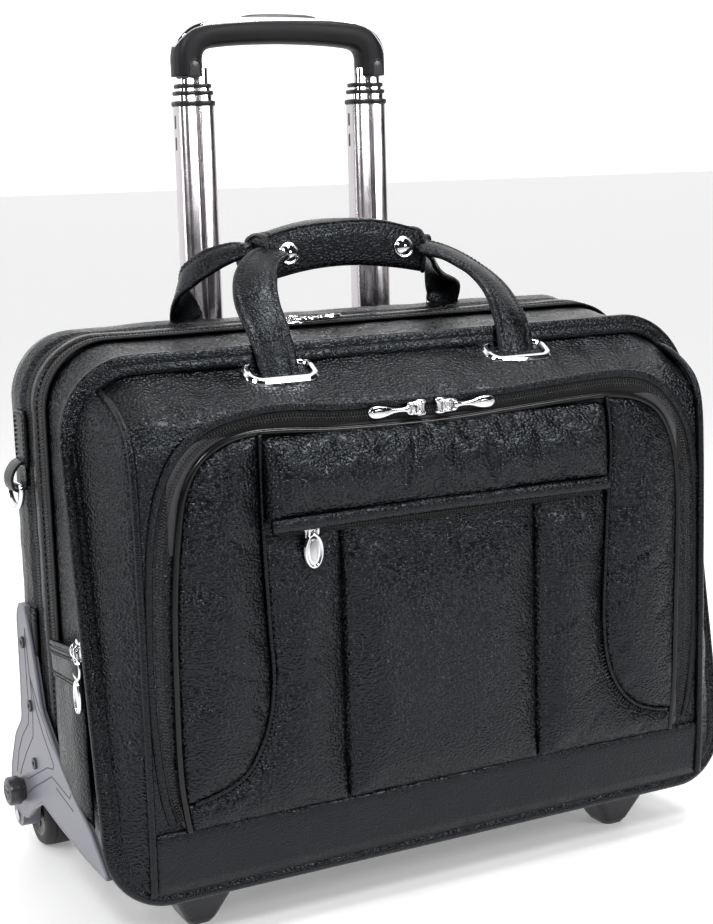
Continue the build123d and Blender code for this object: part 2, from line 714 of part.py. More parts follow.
for side_name, side in sides.items():
    with BuildPart() as strap_ring:
        with BuildSketch(Plane.XY.offset(ring_z)):
            with Locations((side * ring_x, ring_y + 14)):
                Circle(wire)
        revolve(axis=Axis((side * ring_x, ring_y, ring_z), (1, 0, 0)), revolution_arc=-180)
        with BuildSketch(Plane.XZ.offset(-(ring_y + 14))):
            with Locations((side * ring_x, ring_z)):
                Circle(wire)
        extrude(amount=28)
    strap_ring.part.label = f"strap_ring_{side_name}"
    export_step(strap_ring.part, f"parts/strap_ring_{side_name}.step")
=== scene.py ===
import math
import bmesh
import bpy
import numpy as np
from mathutils import Matrix, Vector
from mathutils.geometry import delaunay_2d_cdt


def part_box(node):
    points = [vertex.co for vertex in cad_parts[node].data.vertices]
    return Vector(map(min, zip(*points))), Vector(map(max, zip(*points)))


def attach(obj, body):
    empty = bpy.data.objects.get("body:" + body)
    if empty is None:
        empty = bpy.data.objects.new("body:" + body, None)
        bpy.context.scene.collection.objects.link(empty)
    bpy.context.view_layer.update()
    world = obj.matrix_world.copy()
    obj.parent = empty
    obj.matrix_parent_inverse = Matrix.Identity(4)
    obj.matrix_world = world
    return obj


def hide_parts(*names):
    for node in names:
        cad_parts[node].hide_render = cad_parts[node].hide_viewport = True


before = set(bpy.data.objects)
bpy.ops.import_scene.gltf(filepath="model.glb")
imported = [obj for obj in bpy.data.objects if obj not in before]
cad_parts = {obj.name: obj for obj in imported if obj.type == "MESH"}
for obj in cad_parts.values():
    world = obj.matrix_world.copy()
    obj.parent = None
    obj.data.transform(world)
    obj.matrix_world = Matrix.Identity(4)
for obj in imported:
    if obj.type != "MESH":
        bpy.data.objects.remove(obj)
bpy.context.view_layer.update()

MM = 0.001


# ---- places taken from the frame, in millimetres -------------------------------------
def span(node):
    """Lowest and highest corner of a CAD node, in millimetres."""
    low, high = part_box(node)
    return np.array(low) / MM, np.array(high) / MM


shell_low = span("front_shell")[0]
rear_high = span("rear_shell")[1]
flap_low, flap_high = span("pocket_flap")
PANEL = shell_low[1]                 # plane of the front panel
BAG_LOW, BAG_HIGH = shell_low[2], rear_high[2]
SHOULDER_TOP = 319.0                 # height at which the shoulder meets the welt
PIPING_HALF = 186.0


def at(depth):
    """y of a place this far behind the front panel."""
    return PANEL + depth


# ---- mesh helpers ---------------------------------------------------------------------
def smooth_noise(points, scale, seed=0):
    """Gentle value noise from -1 to 1 built from a few crossed waves, same every run."""
    draw = np.random.default_rng(1000 + seed)
    total = np.zeros(len(points))
    for _ in range(7):
        direction = draw.normal(size=3)
        direction /= np.linalg.norm(direction)
        length = scale * draw.uniform(0.6, 1.7)
        total += np.sin(points @ direction * (2 * math.pi / length) + draw.uniform(0, 6.28))
    return total / 4.5


def new_piece(name, verts, faces, material, body, replaces=(), slot=None, smooth=True, fix=True):
    """Mesh object from millimetre points, riding on a body."""
    mesh = bpy.data.meshes.new(name)
    mesh.from_pydata([tuple(v) for v in np.asarray(verts, float) * MM], [], [tuple(f) for f in faces])
    mesh.validate()
    if fix:
        shape = bmesh.new()
        shape.from_mesh(mesh)
        bmesh.ops.remove_doubles(shape, verts=shape.verts, dist=1e-6)
        bmesh.ops.recalc_face_normals(shape, faces=shape.faces)
        shape.to_mesh(mesh)
        shape.free()
    piece = bpy.data.objects.new(name, mesh)
    bpy.context.collection.objects.link(piece)
    if smooth:
        mesh.polygons.foreach_set("use_smooth", [True] * len(mesh.polygons))
    mesh.materials.append(material)
    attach(piece, body)
    if replaces:
        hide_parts(*replaces)
    return piece


def grid_faces(rows, columns, wrap_rows=False, wrap_columns=False, offset=0):
    """Quads over a grid of points stored row by row."""
    faces = []
    for i in range(rows if wrap_rows else rows - 1):
        for j in range(columns if wrap_columns else columns - 1):
            a = i * columns + j
            b = i * columns + (j + 1) % columns
            c = ((i + 1) % rows) * columns + (j + 1) % columns
            d = ((i + 1) % rows) * columns + j
            faces.append((a + offset, b + offset, c + offset, d + offset))
    return faces


def shade_by_angle(piece, degrees=35):
    """Keeps edges sharper than this angle crisp."""
    piece.data.set_sharp_from_angle(angle=math.radians(degrees))


def subdivide(piece, levels=1):
    modifier = piece.modifiers.new("smooth", "SUBSURF")
    modifier.levels = modifier.render_levels = levels
    return piece


def bevel(piece, width, segments=3, angle=30):
    modifier = piece.modifiers.new("edges", "BEVEL")
    modifier.width = width * MM
    modifier.segments = segments
    modifier.limit_method = "ANGLE"
    modifier.angle_limit = math.radians(angle)
    modifier.harden_normals = False
    return piece


def spline(points, step, closed=False):
    """Evenly spaced points along a centripetal curve through the given points."""
    points = np.asarray(points, float)
    count = len(points)
    if closed:
        padded = np.vstack([points[-1:], points, points[:2]])
        spans = count
    else:
        padded = np.vstack([2 * points[0] - points[1], points, 2 * points[-1] - points[-2]])
        spans = count - 1
    fine = []
    for i in range(spans):
        a, b, c, d = padded[i:i + 4]
        t0 = 0.0
        t1 = t0 + max(np.linalg.norm(b - a), 1e-6) ** 0.5
        t2 = t1 + max(np.linalg.norm(c - b), 1e-6) ** 0.5
        t3 = t2 + max(np.linalg.norm(d - c), 1e-6) ** 0.5
        t = np.linspace(t1, t2, 24, endpoint=False)[:, None]
        ab = (t1 - t) / (t1 - t0) * a + (t - t0) / (t1 - t0) * b
        bc = (t2 - t) / (t2 - t1) * b + (t - t1) / (t2 - t1) * c
        cd = (t3 - t) / (t3 - t2) * c + (t - t2) / (t3 - t2) * d
        abc = (t2 - t) / (t2 - t0) * ab + (t - t0) / (t2 - t0) * bc
        bcd = (t3 - t) / (t3 - t1) * bc + (t - t1) / (t3 - t1) * cd
        fine.append((t2 - t) / (t2 - t1) * abc + (t - t1) / (t2 - t1) * bcd)
    fine.append(points[:1] if closed else points[-1:])
    return even(np.vstack(fine), step, closed)


def even(points, step, closed=False):
    """Resamples a dense line to even spacing. A closed line comes back without its repeat."""
    points = np.asarray(points, float)
    if closed and np.linalg.norm(points[0] - points[-1]) > 1e-9:
        points = np.vstack([points, points[:1]])
    lengths = np.r_[0, np.cumsum(np.linalg.norm(np.diff(points, axis=0), axis=1))]
    count = max(2, int(round(lengths[-1] / step)))
    where = np.linspace(0, lengths[-1], count + 1)
    if closed:
        where = where[:-1]
    return np.column_stack([np.interp(where, lengths, points[:, k]) for k in range(points.shape[1])])


def tangents(path, closed=False):
    if closed:
        t = np.roll(path, -1, axis=0) - np.roll(path, 1, axis=0)
    else:
        t = np.gradient(path, axis=0)
    return t / np.maximum(np.linalg.norm(t, axis=1), 1e-9)[:, None]


def cross_frames(path, normals, closed=False):
    """Unit tangent, outward normal and sideways vector at each point of a path."""
    t = tangents(path, closed)
    n = np.broadcast_to(np.asarray(normals, float), path.shape).copy()
    n -= t * np.sum(n * t, axis=1)[:, None]
    n /= np.maximum(np.linalg.norm(n, axis=1), 1e-9)[:, None]
    return t, n, np.cross(t, n)


def sweep(path, profile, normals, closed=False, scale=None):
    """Verts and faces of a closed profile (side, normal) carried along a path."""
    _, n, s = cross_frames(path, normals, closed)
    profile = np.asarray(profile, float)
    rows = []
    for i, point in enumerate(path):
        k = 1.0 if scale is None else scale[i]
        k = np.broadcast_to(k, 2)
        rows.append(point + s[i] * profile[:, :1] * k[0] + n[i] * profile[:, 1:] * k[1])
    if not closed:
        return lofted(rows)
    return np.vstack(rows), grid_faces(len(path), len(profile), wrap_rows=True, wrap_columns=True)


def round_profile(radius, count=12, flat=1.0):
    angle = np.arange(count) * 2 * math.pi / count
    return np.column_stack([np.cos(angle) * radius, np.sin(angle) * radius * flat])


def rounded_rectangle(width, height, radius, cx=0.0, cy=0.0, corner=5):
    """Closed outline of a rectangle with round corners."""
    points = []
    for sx, sy, start in ((1, 1, 0), (-1, 1, 90), (-1, -1, 180), (1, -1, 270)):
        for k in range(corner + 1):
            angle = math.radians(start + 90 * k / corner)
            points.append((cx + sx * (width / 2 - radius) + radius * math.cos(angle),
                           cy + sy * (height / 2 - radius) + radius * math.sin(angle)))
    return np.array(points)


def box_profile(width, thick, radius, corner=3):
    """Rounded rectangle, width sideways and thick along the normal."""
    return rounded_rectangle(width, thick, radius, corner=corner)


def lofted(rows):
    """Closed solid through rings with the same number of points, flat at both ends."""
    count = len(rows[0])
    verts = np.vstack(rows)
    faces = grid_faces(len(rows), count, wrap_columns=True)
    faces += [tuple(range(count))[::-1], tuple(range(len(verts) - count, len(verts)))]
    return verts, faces


def merge(parts):
    """Joins several (verts, faces) into one."""
    verts, faces, base = [], [], 0
    for v, f in parts:
        verts.append(np.asarray(v, float))
        faces += [tuple(i + base for i in face) for face in f]
        base += len(v)
    return np.vstack(verts), faces


def instances(template, faces, origins, ts, ns, ss):
    """Copies a template (x along t, y along s, z along n) to every place."""
    template = np.asarray(template, float)
    verts = (origins[:, None, :] + template[None, :, 0:1] * ts[:, None, :]
             + template[None, :, 1:2] * ss[:, None, :] + template[None, :, 2:3] * ns[:, None, :])
    count = len(template)
    all_faces = [tuple(i + k * count for i in face) for k in range(len(origins)) for face in faces]
    return verts.reshape(-1, 3), all_faces


def capsule(length, radius, around=6, squash=1.0):
    """Small closed grain along x, used for stitches and zip teeth."""
    rings = ((-0.5, 0.35), (-0.38, 0.85), (0, 1.0), (0.38, 0.85), (0.5, 0.35))
    verts, faces = [], []
    for place, size in rings:
        for k in range(around):
            angle = 2 * math.pi * k / around
            verts.append((place * length, math.cos(angle) * radius * size,
                          math.sin(angle) * radius * size * squash))
    for r in range(len(rings) - 1):
        for k in range(around):
            a, b = r * around + k, r * around + (k + 1) % around
            faces.append((a, b, b + around, a + around))
    faces.append(tuple(range(around))[::-1])
    faces.append(tuple(range(len(verts) - around, len(verts))))
    return np.array(verts), faces


def spaced_frames(path, normals, pitch, closed):
    """Evenly spaced places along a line, with the tangent, normal and sideways vector at each."""
    line = even(path, pitch, closed)
    source = np.asarray(path, float)
    if np.ndim(normals) == 2:
        nearest = [int(np.argmin(np.sum((source - p) ** 2, axis=1))) for p in line]
        normals = np.asarray(normals)[nearest]
    return line, *cross_frames(line, normals, closed)


def stitch_row(path, normals, closed=False, pitch=3.6, length=2.5, radius=0.38, lift=0.15, tilt=0.10):
    """Row of raised stitches along a line."""
    line, t, n, s = spaced_frames(path, normals, pitch, closed)
    shape, faces = capsule(length, radius)
    turned = t + s * tilt
    return instances(shape, faces, line + n * lift, turned, n, np.cross(turned, n))


def zip_teeth(path, normals, closed=False, pitch=1.9, width=5.2):
    """Two interlocking rows of coil teeth along a line."""
    line, t, n, s = spaced_frames(path, normals, pitch, closed)
    shape, faces = capsule(width * 0.62, 0.62)
    parts = []
    for side in (-1, 1):
        shift = (0.25 if side > 0 else -0.25) * pitch
        origins = line + s * side * width * 0.21 + t * shift + n * 0.2
        parts.append(instances(shape, faces, origins, s, n, -t))
    return merge(parts)


# ---- materials --------------------------------------------------------------------------
def shader(name, color, roughness, metallic=0.0, **sockets):
    material = bpy.data.materials.new(name)
    material.use_nodes = True
    nodes, links = material.node_tree.nodes, material.node_tree.links
    surface = nodes["Principled BSDF"]
    surface.inputs["Base Color"].default_value = (*color, 1)
    surface.inputs["Roughness"].default_value = roughness
    surface.inputs["Metallic"].default_value = metallic
    for key, value in sockets.items():
        surface.inputs[key.replace("_", " ")].default_value = value
    return material, nodes, links, surface


def place(nodes, links, scale=(1, 1, 1), rotation=(0, 0, 0)):
    coordinates = nodes.new("ShaderNodeTexCoord")
    mapping = nodes.new("ShaderNodeMapping")
    mapping.inputs["Scale"].default_value = scale
    mapping.inputs["Rotation"].default_value = rotation
    links.new(coordinates.outputs["Object"], mapping.inputs["Vector"])
    return mapping.outputs["Vector"]


def noise(nodes, links, vector, scale, detail=4, roughness=0.55):
    texture = nodes.new("ShaderNodeTexNoise")
    texture.inputs["Scale"].default_value = scale
    texture.inputs["Detail"].default_value = detail
    texture.inputs["Roughness"].default_value = roughness
    links.new(vector, texture.inputs["Vector"])
    return texture.outputs["Fac"]


def ramp(nodes, links, value, low, high, out_low, out_high):
    mapped = nodes.new("ShaderNodeMapRange")
    mapped.inputs["From Min"].default_value = low
    mapped.inputs["From Max"].default_value = high
    mapped.inputs["To Min"].default_value = out_low
    mapped.inputs["To Max"].default_value = out_high
    links.new(value, mapped.inputs["Value"])
    return mapped.outputs["Result"]


def tint(nodes, links, value, low_color, high_color):
    mixer = nodes.new("ShaderNodeMix")
    mixer.data_type = "RGBA"
    mixer.inputs["A"].default_value = (*low_color, 1)
    mixer.inputs["B"].default_value = (*high_color, 1)
    links.new(value, mixer.inputs["Factor"])
    return mixer.outputs["Result"]


def bump(nodes, links, height, strength, distance, normal=None):
    node = nodes.new("ShaderNodeBump")
    node.inputs["Strength"].default_value = strength
    node.inputs["Distance"].default_value = distance
    links.new(height, node.inputs["Height"])
    if normal is not None:
        links.new(normal, node.inputs["Normal"])
    return node.outputs["Normal"]


def make_leather(name, dark, light, pebble, strength, roughness, crease=0.35):
    """Pebbled hide: rounded cells parted by creases, over slow wrinkles and worn sheen; its colour carries
    painted shade in the creases and painted light on the pebble tops.
    """
    material, nodes, links, surface = shader(name, dark, roughness,
                                             **{"Specular_IOR_Level": 0.29,
                                                "Specular_Tint": (0.84, 0.91, 1.0, 1)})
    vector = place(nodes, links)
    warp = nodes.new("ShaderNodeTexNoise")
    warp.inputs["Scale"].default_value = 260
    warp.inputs["Detail"].default_value = 2
    links.new(vector, warp.inputs["Vector"])
    shift = nodes.new("ShaderNodeVectorMath")
    shift.operation = "MULTIPLY_ADD"
    shift.inputs[1].default_value = (0.0005, 0.0005, 0.0005)
    links.new(warp.outputs["Color"], shift.inputs[0])
    links.new(vector, shift.inputs[2])
    stretched = nodes.new("ShaderNodeMapping")
    stretched.inputs["Scale"].default_value = (0.85, 1.0, 1.3)
    links.new(shift.outputs["Vector"], stretched.inputs["Vector"])
    cells = nodes.new("ShaderNodeTexVoronoi")
    cells.feature = "SMOOTH_F1"
    cells.inputs["Smoothness"].default_value = 0.45
    cells.inputs["Randomness"].default_value = 0.85
    cells.inputs["Scale"].default_value = 1 / (pebble * MM)
    links.new(stretched.outputs["Vector"], cells.inputs["Vector"])
    pebbles = ramp(nodes, links, cells.outputs["Distance"], 0.08, 0.62, 1.0, 0.0)
    slow = noise(nodes, links, vector, 22, 5, 0.6)
    wrinkle = noise(nodes, links, place(nodes, links, (1, 1.6, 0.55), (0.3, 0.5, 0.7)), 70, 6, 0.62)
    first = bump(nodes, links, slow, crease, 0.0035)
    second = bump(nodes, links, wrinkle, crease * 0.7, 0.0009, first)
    links.new(bump(nodes, links, pebbles, strength, 0.0005, second), surface.inputs["Normal"])
    # Base colour: painted shade in the creases between pebbles and painted light on their tops, times random
    # mottling.
    pebble_shade_and_mottle = nodes.new("ShaderNodeMath")
    pebble_shade_and_mottle.operation = "MULTIPLY"
    links.new(pebbles, pebble_shade_and_mottle.inputs[0])
    links.new(ramp(nodes, links, slow, 0.3, 0.7, 0.45, 1.0), pebble_shade_and_mottle.inputs[1])
    links.new(tint(nodes, links, pebble_shade_and_mottle.outputs[0], dark, light), surface.inputs["Base Color"])
    links.new(ramp(nodes, links, wrinkle, 0.3, 0.7, roughness - 0.07, roughness + 0.09),
              surface.inputs["Roughness"])
    return material


def make_plastic(name, color, roughness, grain=900, strength=0.12, wear=0.15):
    material, nodes, links, surface = shader(name, color, roughness)
    vector = place(nodes, links)
    fine = noise(nodes, links, vector, grain, 3)
    slow = noise(nodes, links, vector, 30, 4)
    lighter = tuple(min(1, c * (1 + wear) + 0.004) for c in color)
    darker = tuple(c * (1 - wear) for c in color)
    links.new(tint(nodes, links, ramp(nodes, links, slow, 0.35, 0.65, 0, 1), darker, lighter),
              surface.inputs["Base Color"])
    links.new(ramp(nodes, links, slow, 0.3, 0.7, roughness - 0.05, roughness + 0.06),
              surface.inputs["Roughness"])
    links.new(bump(nodes, links, fine, strength, 0.0003), surface.inputs["Normal"])
    return material


def make_metal(name, color, roughness, stretch=(1, 1, 1), grain=1500, strength=0.05, spread=0.05):
    material, nodes, links, surface = shader(name, color, roughness, metallic=1.0)
    vector = place(nodes, links, stretch)
    fine = noise(nodes, links, vector, grain, 3)
    slow = noise(nodes, links, place(nodes, links), 45, 5, 0.65)
    links.new(ramp(nodes, links, slow, 0.35, 0.7, max(0.02, roughness - spread), roughness + spread),
              surface.inputs["Roughness"])
    darker = tuple(c * 0.9 for c in color)
    links.new(tint(nodes, links, ramp(nodes, links, fine, 0.35, 0.65, 0, 1), darker, color),
              surface.inputs["Base Color"])
    links.new(bump(nodes, links, fine, strength, 0.0002), surface.inputs["Normal"])
    return material


def make_weave(name, color, pitch, roughness=0.8):
    """Plain woven cloth from two crossed wave textures."""
    material, nodes, links, surface = shader(name, color, roughness, **{"Sheen_Weight": 0.08})
    heights = []
    for rotation in ((0, 0.6, 0.78), (0.6, 0, -0.78)):
        wave = nodes.new("ShaderNodeTexWave")
        wave.inputs["Scale"].default_value = 0.5 / (pitch * MM)
        wave.inputs["Distortion"].default_value = 0.6
        links.new(place(nodes, links, rotation=rotation), wave.inputs["Vector"])
        heights.append(wave.outputs["Fac"])
    both = nodes.new("ShaderNodeMath")
    both.operation = "MULTIPLY"
    links.new(heights[0], both.inputs[0])
    links.new(heights[1], both.inputs[1])
    lighter = tuple(c * 1.6 + 0.004 for c in color)
    links.new(tint(nodes, links, both.outputs[0], color, lighter), surface.inputs["Base Color"])
    links.new(bump(nodes, links, both.outputs[0], 0.5, 0.0003), surface.inputs["Normal"])
    return material


LEATHER = make_leather("pebbled_leather", (0.0012, 0.0012, 0.0016), (0.0040, 0.0042, 0.0054), 1.9, 0.9, 0.29,
                       0.24)
SMOOTH_LEATHER = make_leather("smooth_leather", (0.0014, 0.0014, 0.0018), (0.0040, 0.0041, 0.0050), 1.4,
                              0.45, 0.28, 0.22)
BINDING = make_leather("binding_leather", (0.0014, 0.0014, 0.0018), (0.0036, 0.0036, 0.0044), 1.5, 0.45,
                       0.26, 0.25)
PIPING = make_plastic("glossy_piping", (0.003, 0.003, 0.0036), 0.22, 500, 0.08)
THREAD = make_plastic("black_thread", (0.010, 0.010, 0.012), 0.42, 3000, 0.4)
TAPE = make_weave("zip_tape", (0.008, 0.008, 0.009), 0.55)
TEETH = make_plastic("zip_teeth", (0.012, 0.012, 0.013), 0.28, 2500, 0.15)
LINING = make_weave("lining_cloth", (0.028, 0.028, 0.033), 0.9)
CHROME = make_metal("chrome", (0.83, 0.83, 0.85), 0.07, spread=0.03)
STEEL = make_metal("screw_steel", (0.55, 0.55, 0.57), 0.28)
TUBE_METAL = make_metal("pewter_aluminium", (0.50, 0.473, 0.493), 0.25, (1, 1, 0.012), 2600, 0.10)
BRIGHT_METAL = make_metal("bright_aluminium", (0.80, 0.79, 0.80), 0.14, (1, 1, 0.02), 2600, 0.06)
GUARD = make_plastic("guard_plastic", (0.140, 0.140, 0.168), 0.36, 1800, 0.10, 0.08)
# Dark plastic: on the guard's grooves its colour is painted shade of the engraved lines; it also darkens the
# guard's screws.
GUARD_DARK = make_plastic("guard_groove", (0.030, 0.030, 0.038), 0.5, 1800, 0.10, 0.08)
DARK_PLASTIC = make_plastic("dark_plastic", (0.030, 0.030, 0.034), 0.30, 1200, 0.10)
FOOT_PLASTIC = make_plastic("foot_plastic", (0.022, 0.0225, 0.026), 0.30, 1200, 0.10)
GRIP_PLASTIC = make_plastic("grip_plastic", (0.0075, 0.0078, 0.009), 0.40, 2200, 0.30)
BLACK_PLASTIC = make_plastic("black_plastic", (0.010, 0.010, 0.011), 0.34, 1200, 0.12)
TYRE = make_plastic("tyre_rubber", (0.012, 0.012, 0.013), 0.62, 1600, 0.35)
BOARD = make_plastic("board_plastic", (0.014, 0.014, 0.016), 0.5, 700, 0.5)
USUAL_SLOTS = {
    **dict.fromkeys((LEATHER, SMOOTH_LEATHER, BINDING, PIPING, THREAD), "black_leather"),
    **dict.fromkeys((TAPE, TEETH), "zip_black"),
    CHROME: "chrome",
    **dict.fromkeys((BLACK_PLASTIC, DARK_PLASTIC, GRIP_PLASTIC), "black_plastic"),
    **dict.fromkeys((GUARD, GUARD_DARK), "guard_grey"),
    LINING: "lining_fabric",
}
for softer, level in ((GRIP_PLASTIC, 0.20), (PIPING, 0.30), (TAPE, 0.15), (TEETH, 0.30), (THREAD, 0.25),
                      (BLACK_PLASTIC, 0.35), (FOOT_PLASTIC, 0.35)):
    softer.node_tree.nodes["Principled BSDF"].inputs["Specular IOR Level"].default_value = level


# ---- outlines of the bag -------------------------------------------------------------------
def bag_outline(half, low, high, top_radius, bottom_radius):
    """Closed front-view outline with the same number of points in every side and corner."""
    def corner(cx, cz, radius, start):
        angle = np.radians(start + np.linspace(0, 90, 17))[1:-1]
        return np.column_stack([cx + radius * np.cos(angle), cz + radius * np.sin(angle)])

    def side(a, b, count):
        t = np.linspace(0, 1, count)[:, None]
        return np.array(a) * (1 - t) + np.array(b) * t

    t, b = top_radius, bottom_radius
    return np.vstack([
        side((half, low + b), (half, high - t), 64),
        corner(half - t, high - t, t, 0),
        side((half - t, high), (t - half, high), 110),
        corner(t - half, high - t, t, 90),
        side((-half, high - t), (-half, low + b), 64),
        corner(b - half, low + b, b, 180),
        side((b - half, low), (half - b, low), 90),
        corner(half - b, low + b, b, 270),
    ])


def station(half, low, high, top_radius, bottom_radius, low_depth, high_depth):
    """The outline in space, leaning back from its low edge to its high edge."""
    flat = bag_outline(half, low, high, top_radius, bottom_radius)
    lean = low_depth + (flat[:, 1] - low) / (high - low) * (high_depth - low_depth)
    return np.column_stack([flat[:, 0], at(lean), flat[:, 1]])


def outward(ring):
    """Outward direction of a closed outline, in its own plane."""
    t = tangents(ring, closed=True)
    plane_normal = np.cross(t[40], t[120])
    plane_normal /= np.linalg.norm(plane_normal)
    n = np.cross(t, plane_normal)
    middle = ring.mean(axis=0)
    if np.sum(n * (ring - middle)) < 0:
        n = -n
    return n / np.linalg.norm(n, axis=1)[:, None]


def blend_stations(a, b, count):
    """Rows of stations between two rings, eased."""
    return [a * (1 - t) + b * t for t in np.linspace(0, 1, count)]


def ring_skin(name, rows, material, body, thick=2.2, sag=0.0, sag_scale=60, seed=0, **facts):
    """Closed leather skin round the bag, with a lining side, from rows of rings."""
    rows = [np.array(r) for r in rows]
    if sag:
        for i, ring in enumerate(rows):
            ease = math.sin(math.pi * i / (len(rows) - 1)) ** 0.5
            shift = smooth_noise(ring, sag_scale, seed) * 0.7 + smooth_noise(ring, sag_scale * 0.35,
                                                                             seed + 1) * 0.3
            rows[i] = ring + outward(ring) * (shift * sag * ease)[:, None]
    inner = [ring - outward(ring) * thick for ring in rows]
    verts = np.vstack(rows + inner[::-1])
    faces = grid_faces(2 * len(rows), len(rows[0]), wrap_rows=True, wrap_columns=True)
    return new_piece(name, verts, faces, material, body, **facts)


def slab(front, back):
    """Closed solid between two grids of the same size."""
    rows, columns = front.shape[:2]
    count = rows * columns
    verts = np.vstack([front.reshape(-1, 3), back.reshape(-1, 3)])
    faces = grid_faces(rows, columns)
    faces += [tuple(i + count for i in f[::-1]) for f in grid_faces(rows, columns)]
    rim = ([(0, j) for j in range(columns)] + [(i, columns - 1) for i in range(1, rows)]
           + [(rows - 1, j) for j in range(columns - 2, -1, -1)] + [(i, 0) for i in range(rows - 2, 0, -1)])
    loop = [i * columns + j for i, j in rim]
    for a, b in zip(loop, loop[1:] + loop[:1]):
        faces.append((b, a, a + count, b + count))
    return verts, faces


# ---- front compartment: shoulder, gussets, welt -----------------------------------------------
WELT_RING = station(203.5, BAG_LOW, 323, 38, 30, 4, 50)
SHOULDER = spline([(0.5, BAG_LOW + 1), (-0.5, 52), (-1.5, 90), (-2, 180), (-1.5, 250), (0, 276), (2.5, 286),
                   (7, 294), (15, 300.5), (25, 306), (37, 312), (50, 319)], 3.4)


def shoulder_top(x):
    """Height of the welt's inner edge above a place across the bag."""
    corner, radius = 165.0, 38.0
    over = np.clip(np.abs(x) - corner, 0, radius)
    return SHOULDER_TOP - (radius - np.sqrt(radius ** 2 - over ** 2))


across = np.linspace(-PIPING_HALF, PIPING_HALF, 150)
front_grid = np.zeros((len(SHOULDER), len(across), 3))
for i, (depth, height) in enumerate(SHOULDER):
    squeeze = np.clip((height - 276) / (SHOULDER_TOP - 276), 0, 1)
    z = height - squeeze * (SHOULDER_TOP - shoulder_top(across))
    crown = 2.5 * np.clip((height - 270) / 40, 0, 1) * (1 - (across / PIPING_HALF) ** 4)
    front_grid[i] = np.column_stack([across, at(depth - 0.4 * crown), z + 0.5 * crown])
soft = smooth_noise(front_grid.reshape(-1, 3), 75, 3).reshape(front_grid.shape[:2])
soft += 0.5 * smooth_noise(front_grid.reshape(-1, 3), 26, 4).reshape(front_grid.shape[:2])
high_up = np.clip((SHOULDER[:, 1] - 284) / 14, 0, 1) * np.clip((322 - SHOULDER[:, 1]) / 8, 0, 1)
front_grid[:, :, 1] -= 2.4 * soft * high_up[:, None]
front_grid[:, :, 2] += 1.4 * soft * high_up[:, None]

WINDOW_HALF, WINDOW_LOW, WINDOW_HIGH = 162.0, 82.0, 270.0
inside_grid = front_grid + np.array([0, 2.4, -0.8])
verts, faces = slab(front_grid, inside_grid)
count = front_grid.shape[0] * front_grid.shape[1]


def in_window(face):
    middle = verts[[i % count for i in face]].mean(axis=0)
    return abs(middle[0]) < WINDOW_HALF and WINDOW_LOW < middle[2] < WINDOW_HIGH


kept = [f for f in faces if not in_window(f)]
edge_use = {}
for face in kept:
    for a, b in zip(face, face[1:] + face[:1]):
        edge_use[(a, b)] = edge_use.get((a, b), 0) + 1
open_edges = [(a, b) for a, b in edge_use if (b, a) not in edge_use and a < count and b < count]
kept += [(b, a, a + count, b + count) for a, b in open_edges]
new_piece("front_wall_leather", verts, kept, LEATHER, "front_section",
          replaces=["front_shell"])

gusset_parts = []
for side in (-1, 1):
    piping_line = np.array([(side * PIPING_HALF, at(d), z) for d, z in SHOULDER])
    piping_line[-8:, 2] -= np.linspace(0, SHOULDER_TOP - shoulder_top(np.array([PIPING_HALF]))[0], 8)
    base = WELT_RING[WELT_RING[:, 0] < -PIPING_HALF + 1.0]
    base = base[np.argsort(base[:, 2])]
    outer = even(base, np.linalg.norm(np.diff(base, axis=0), axis=1).sum() / 110)
    outer = outer * np.array([-side, 1, 1]) if side > 0 else outer
    inner = even(piping_line, np.linalg.norm(np.diff(piping_line, axis=0), axis=1).sum() / 110)
    size = min(len(outer), len(inner))
    rows = []
    for t in np.linspace(0, 1, 9):
        row = inner[:size] * (1 - t) + outer[:size] * t
        puff = 2.2 * math.sin(math.pi * t)
        row = row + np.array([side * 0.8, -0.6, 0]) * puff
        rows.append(row + np.array([0, 1, 0])[None]
                    * (smooth_noise(row, 38, 8) * 2.3 * math.sin(math.pi * t))[:, None])
    front = np.array(rows)
    gusset_parts.append(slab(front, front + np.array([-side * 1.5, 2.2, 0])))
new_piece("front_gussets", *merge(gusset_parts), LEATHER, "front_section")

parts = []
for side in (-1, 1):
    line = np.array([(side * (PIPING_HALF + 0.4), at(d - 1.2), z) for d, z in SHOULDER])
    line[-8:, 2] -= np.linspace(0, SHOULDER_TOP - shoulder_top(np.array([PIPING_HALF]))[0], 8)
    parts.append(sweep(spline(line[::3], 3), round_profile(2.3, 10), (0, -1, 0)))
new_piece("edge_piping", *merge(parts), SMOOTH_LEATHER, "front_section")

welt_out = outward(WELT_RING)
welt_front = np.cross(tangents(WELT_RING, True), welt_out)
if welt_front[:, 1].mean() > 0:
    welt_front = -welt_front
profile = np.array([(-4.5, -2.2), (6.2, -2.6), (7.4, -1.6), (7.9, 0), (7.4, 1.6), (6.2, 2.7), (2.5, 3.1),
                    (1.6, 2.5), (0.7, 3.1), (-3.4, 2.9), (-4.5, 2.0)])
s = cross_frames(WELT_RING, welt_front, True)[2]
sign = 1 if np.sum(s * welt_out) > 0 else -1
new_piece("welt_binding", *sweep(WELT_RING, profile * np.array([sign, 1]), welt_front, closed=True), BINDING,
          "front_section", replaces=["welt"])
rows = []
for offset in (-1.9, 5.0):
    line = WELT_RING + welt_out * offset + welt_front * 2.9
    rows.append(stitch_row(line, welt_front, closed=True))
new_piece("welt_stitches", *merge(rows), THREAD, "front_section")

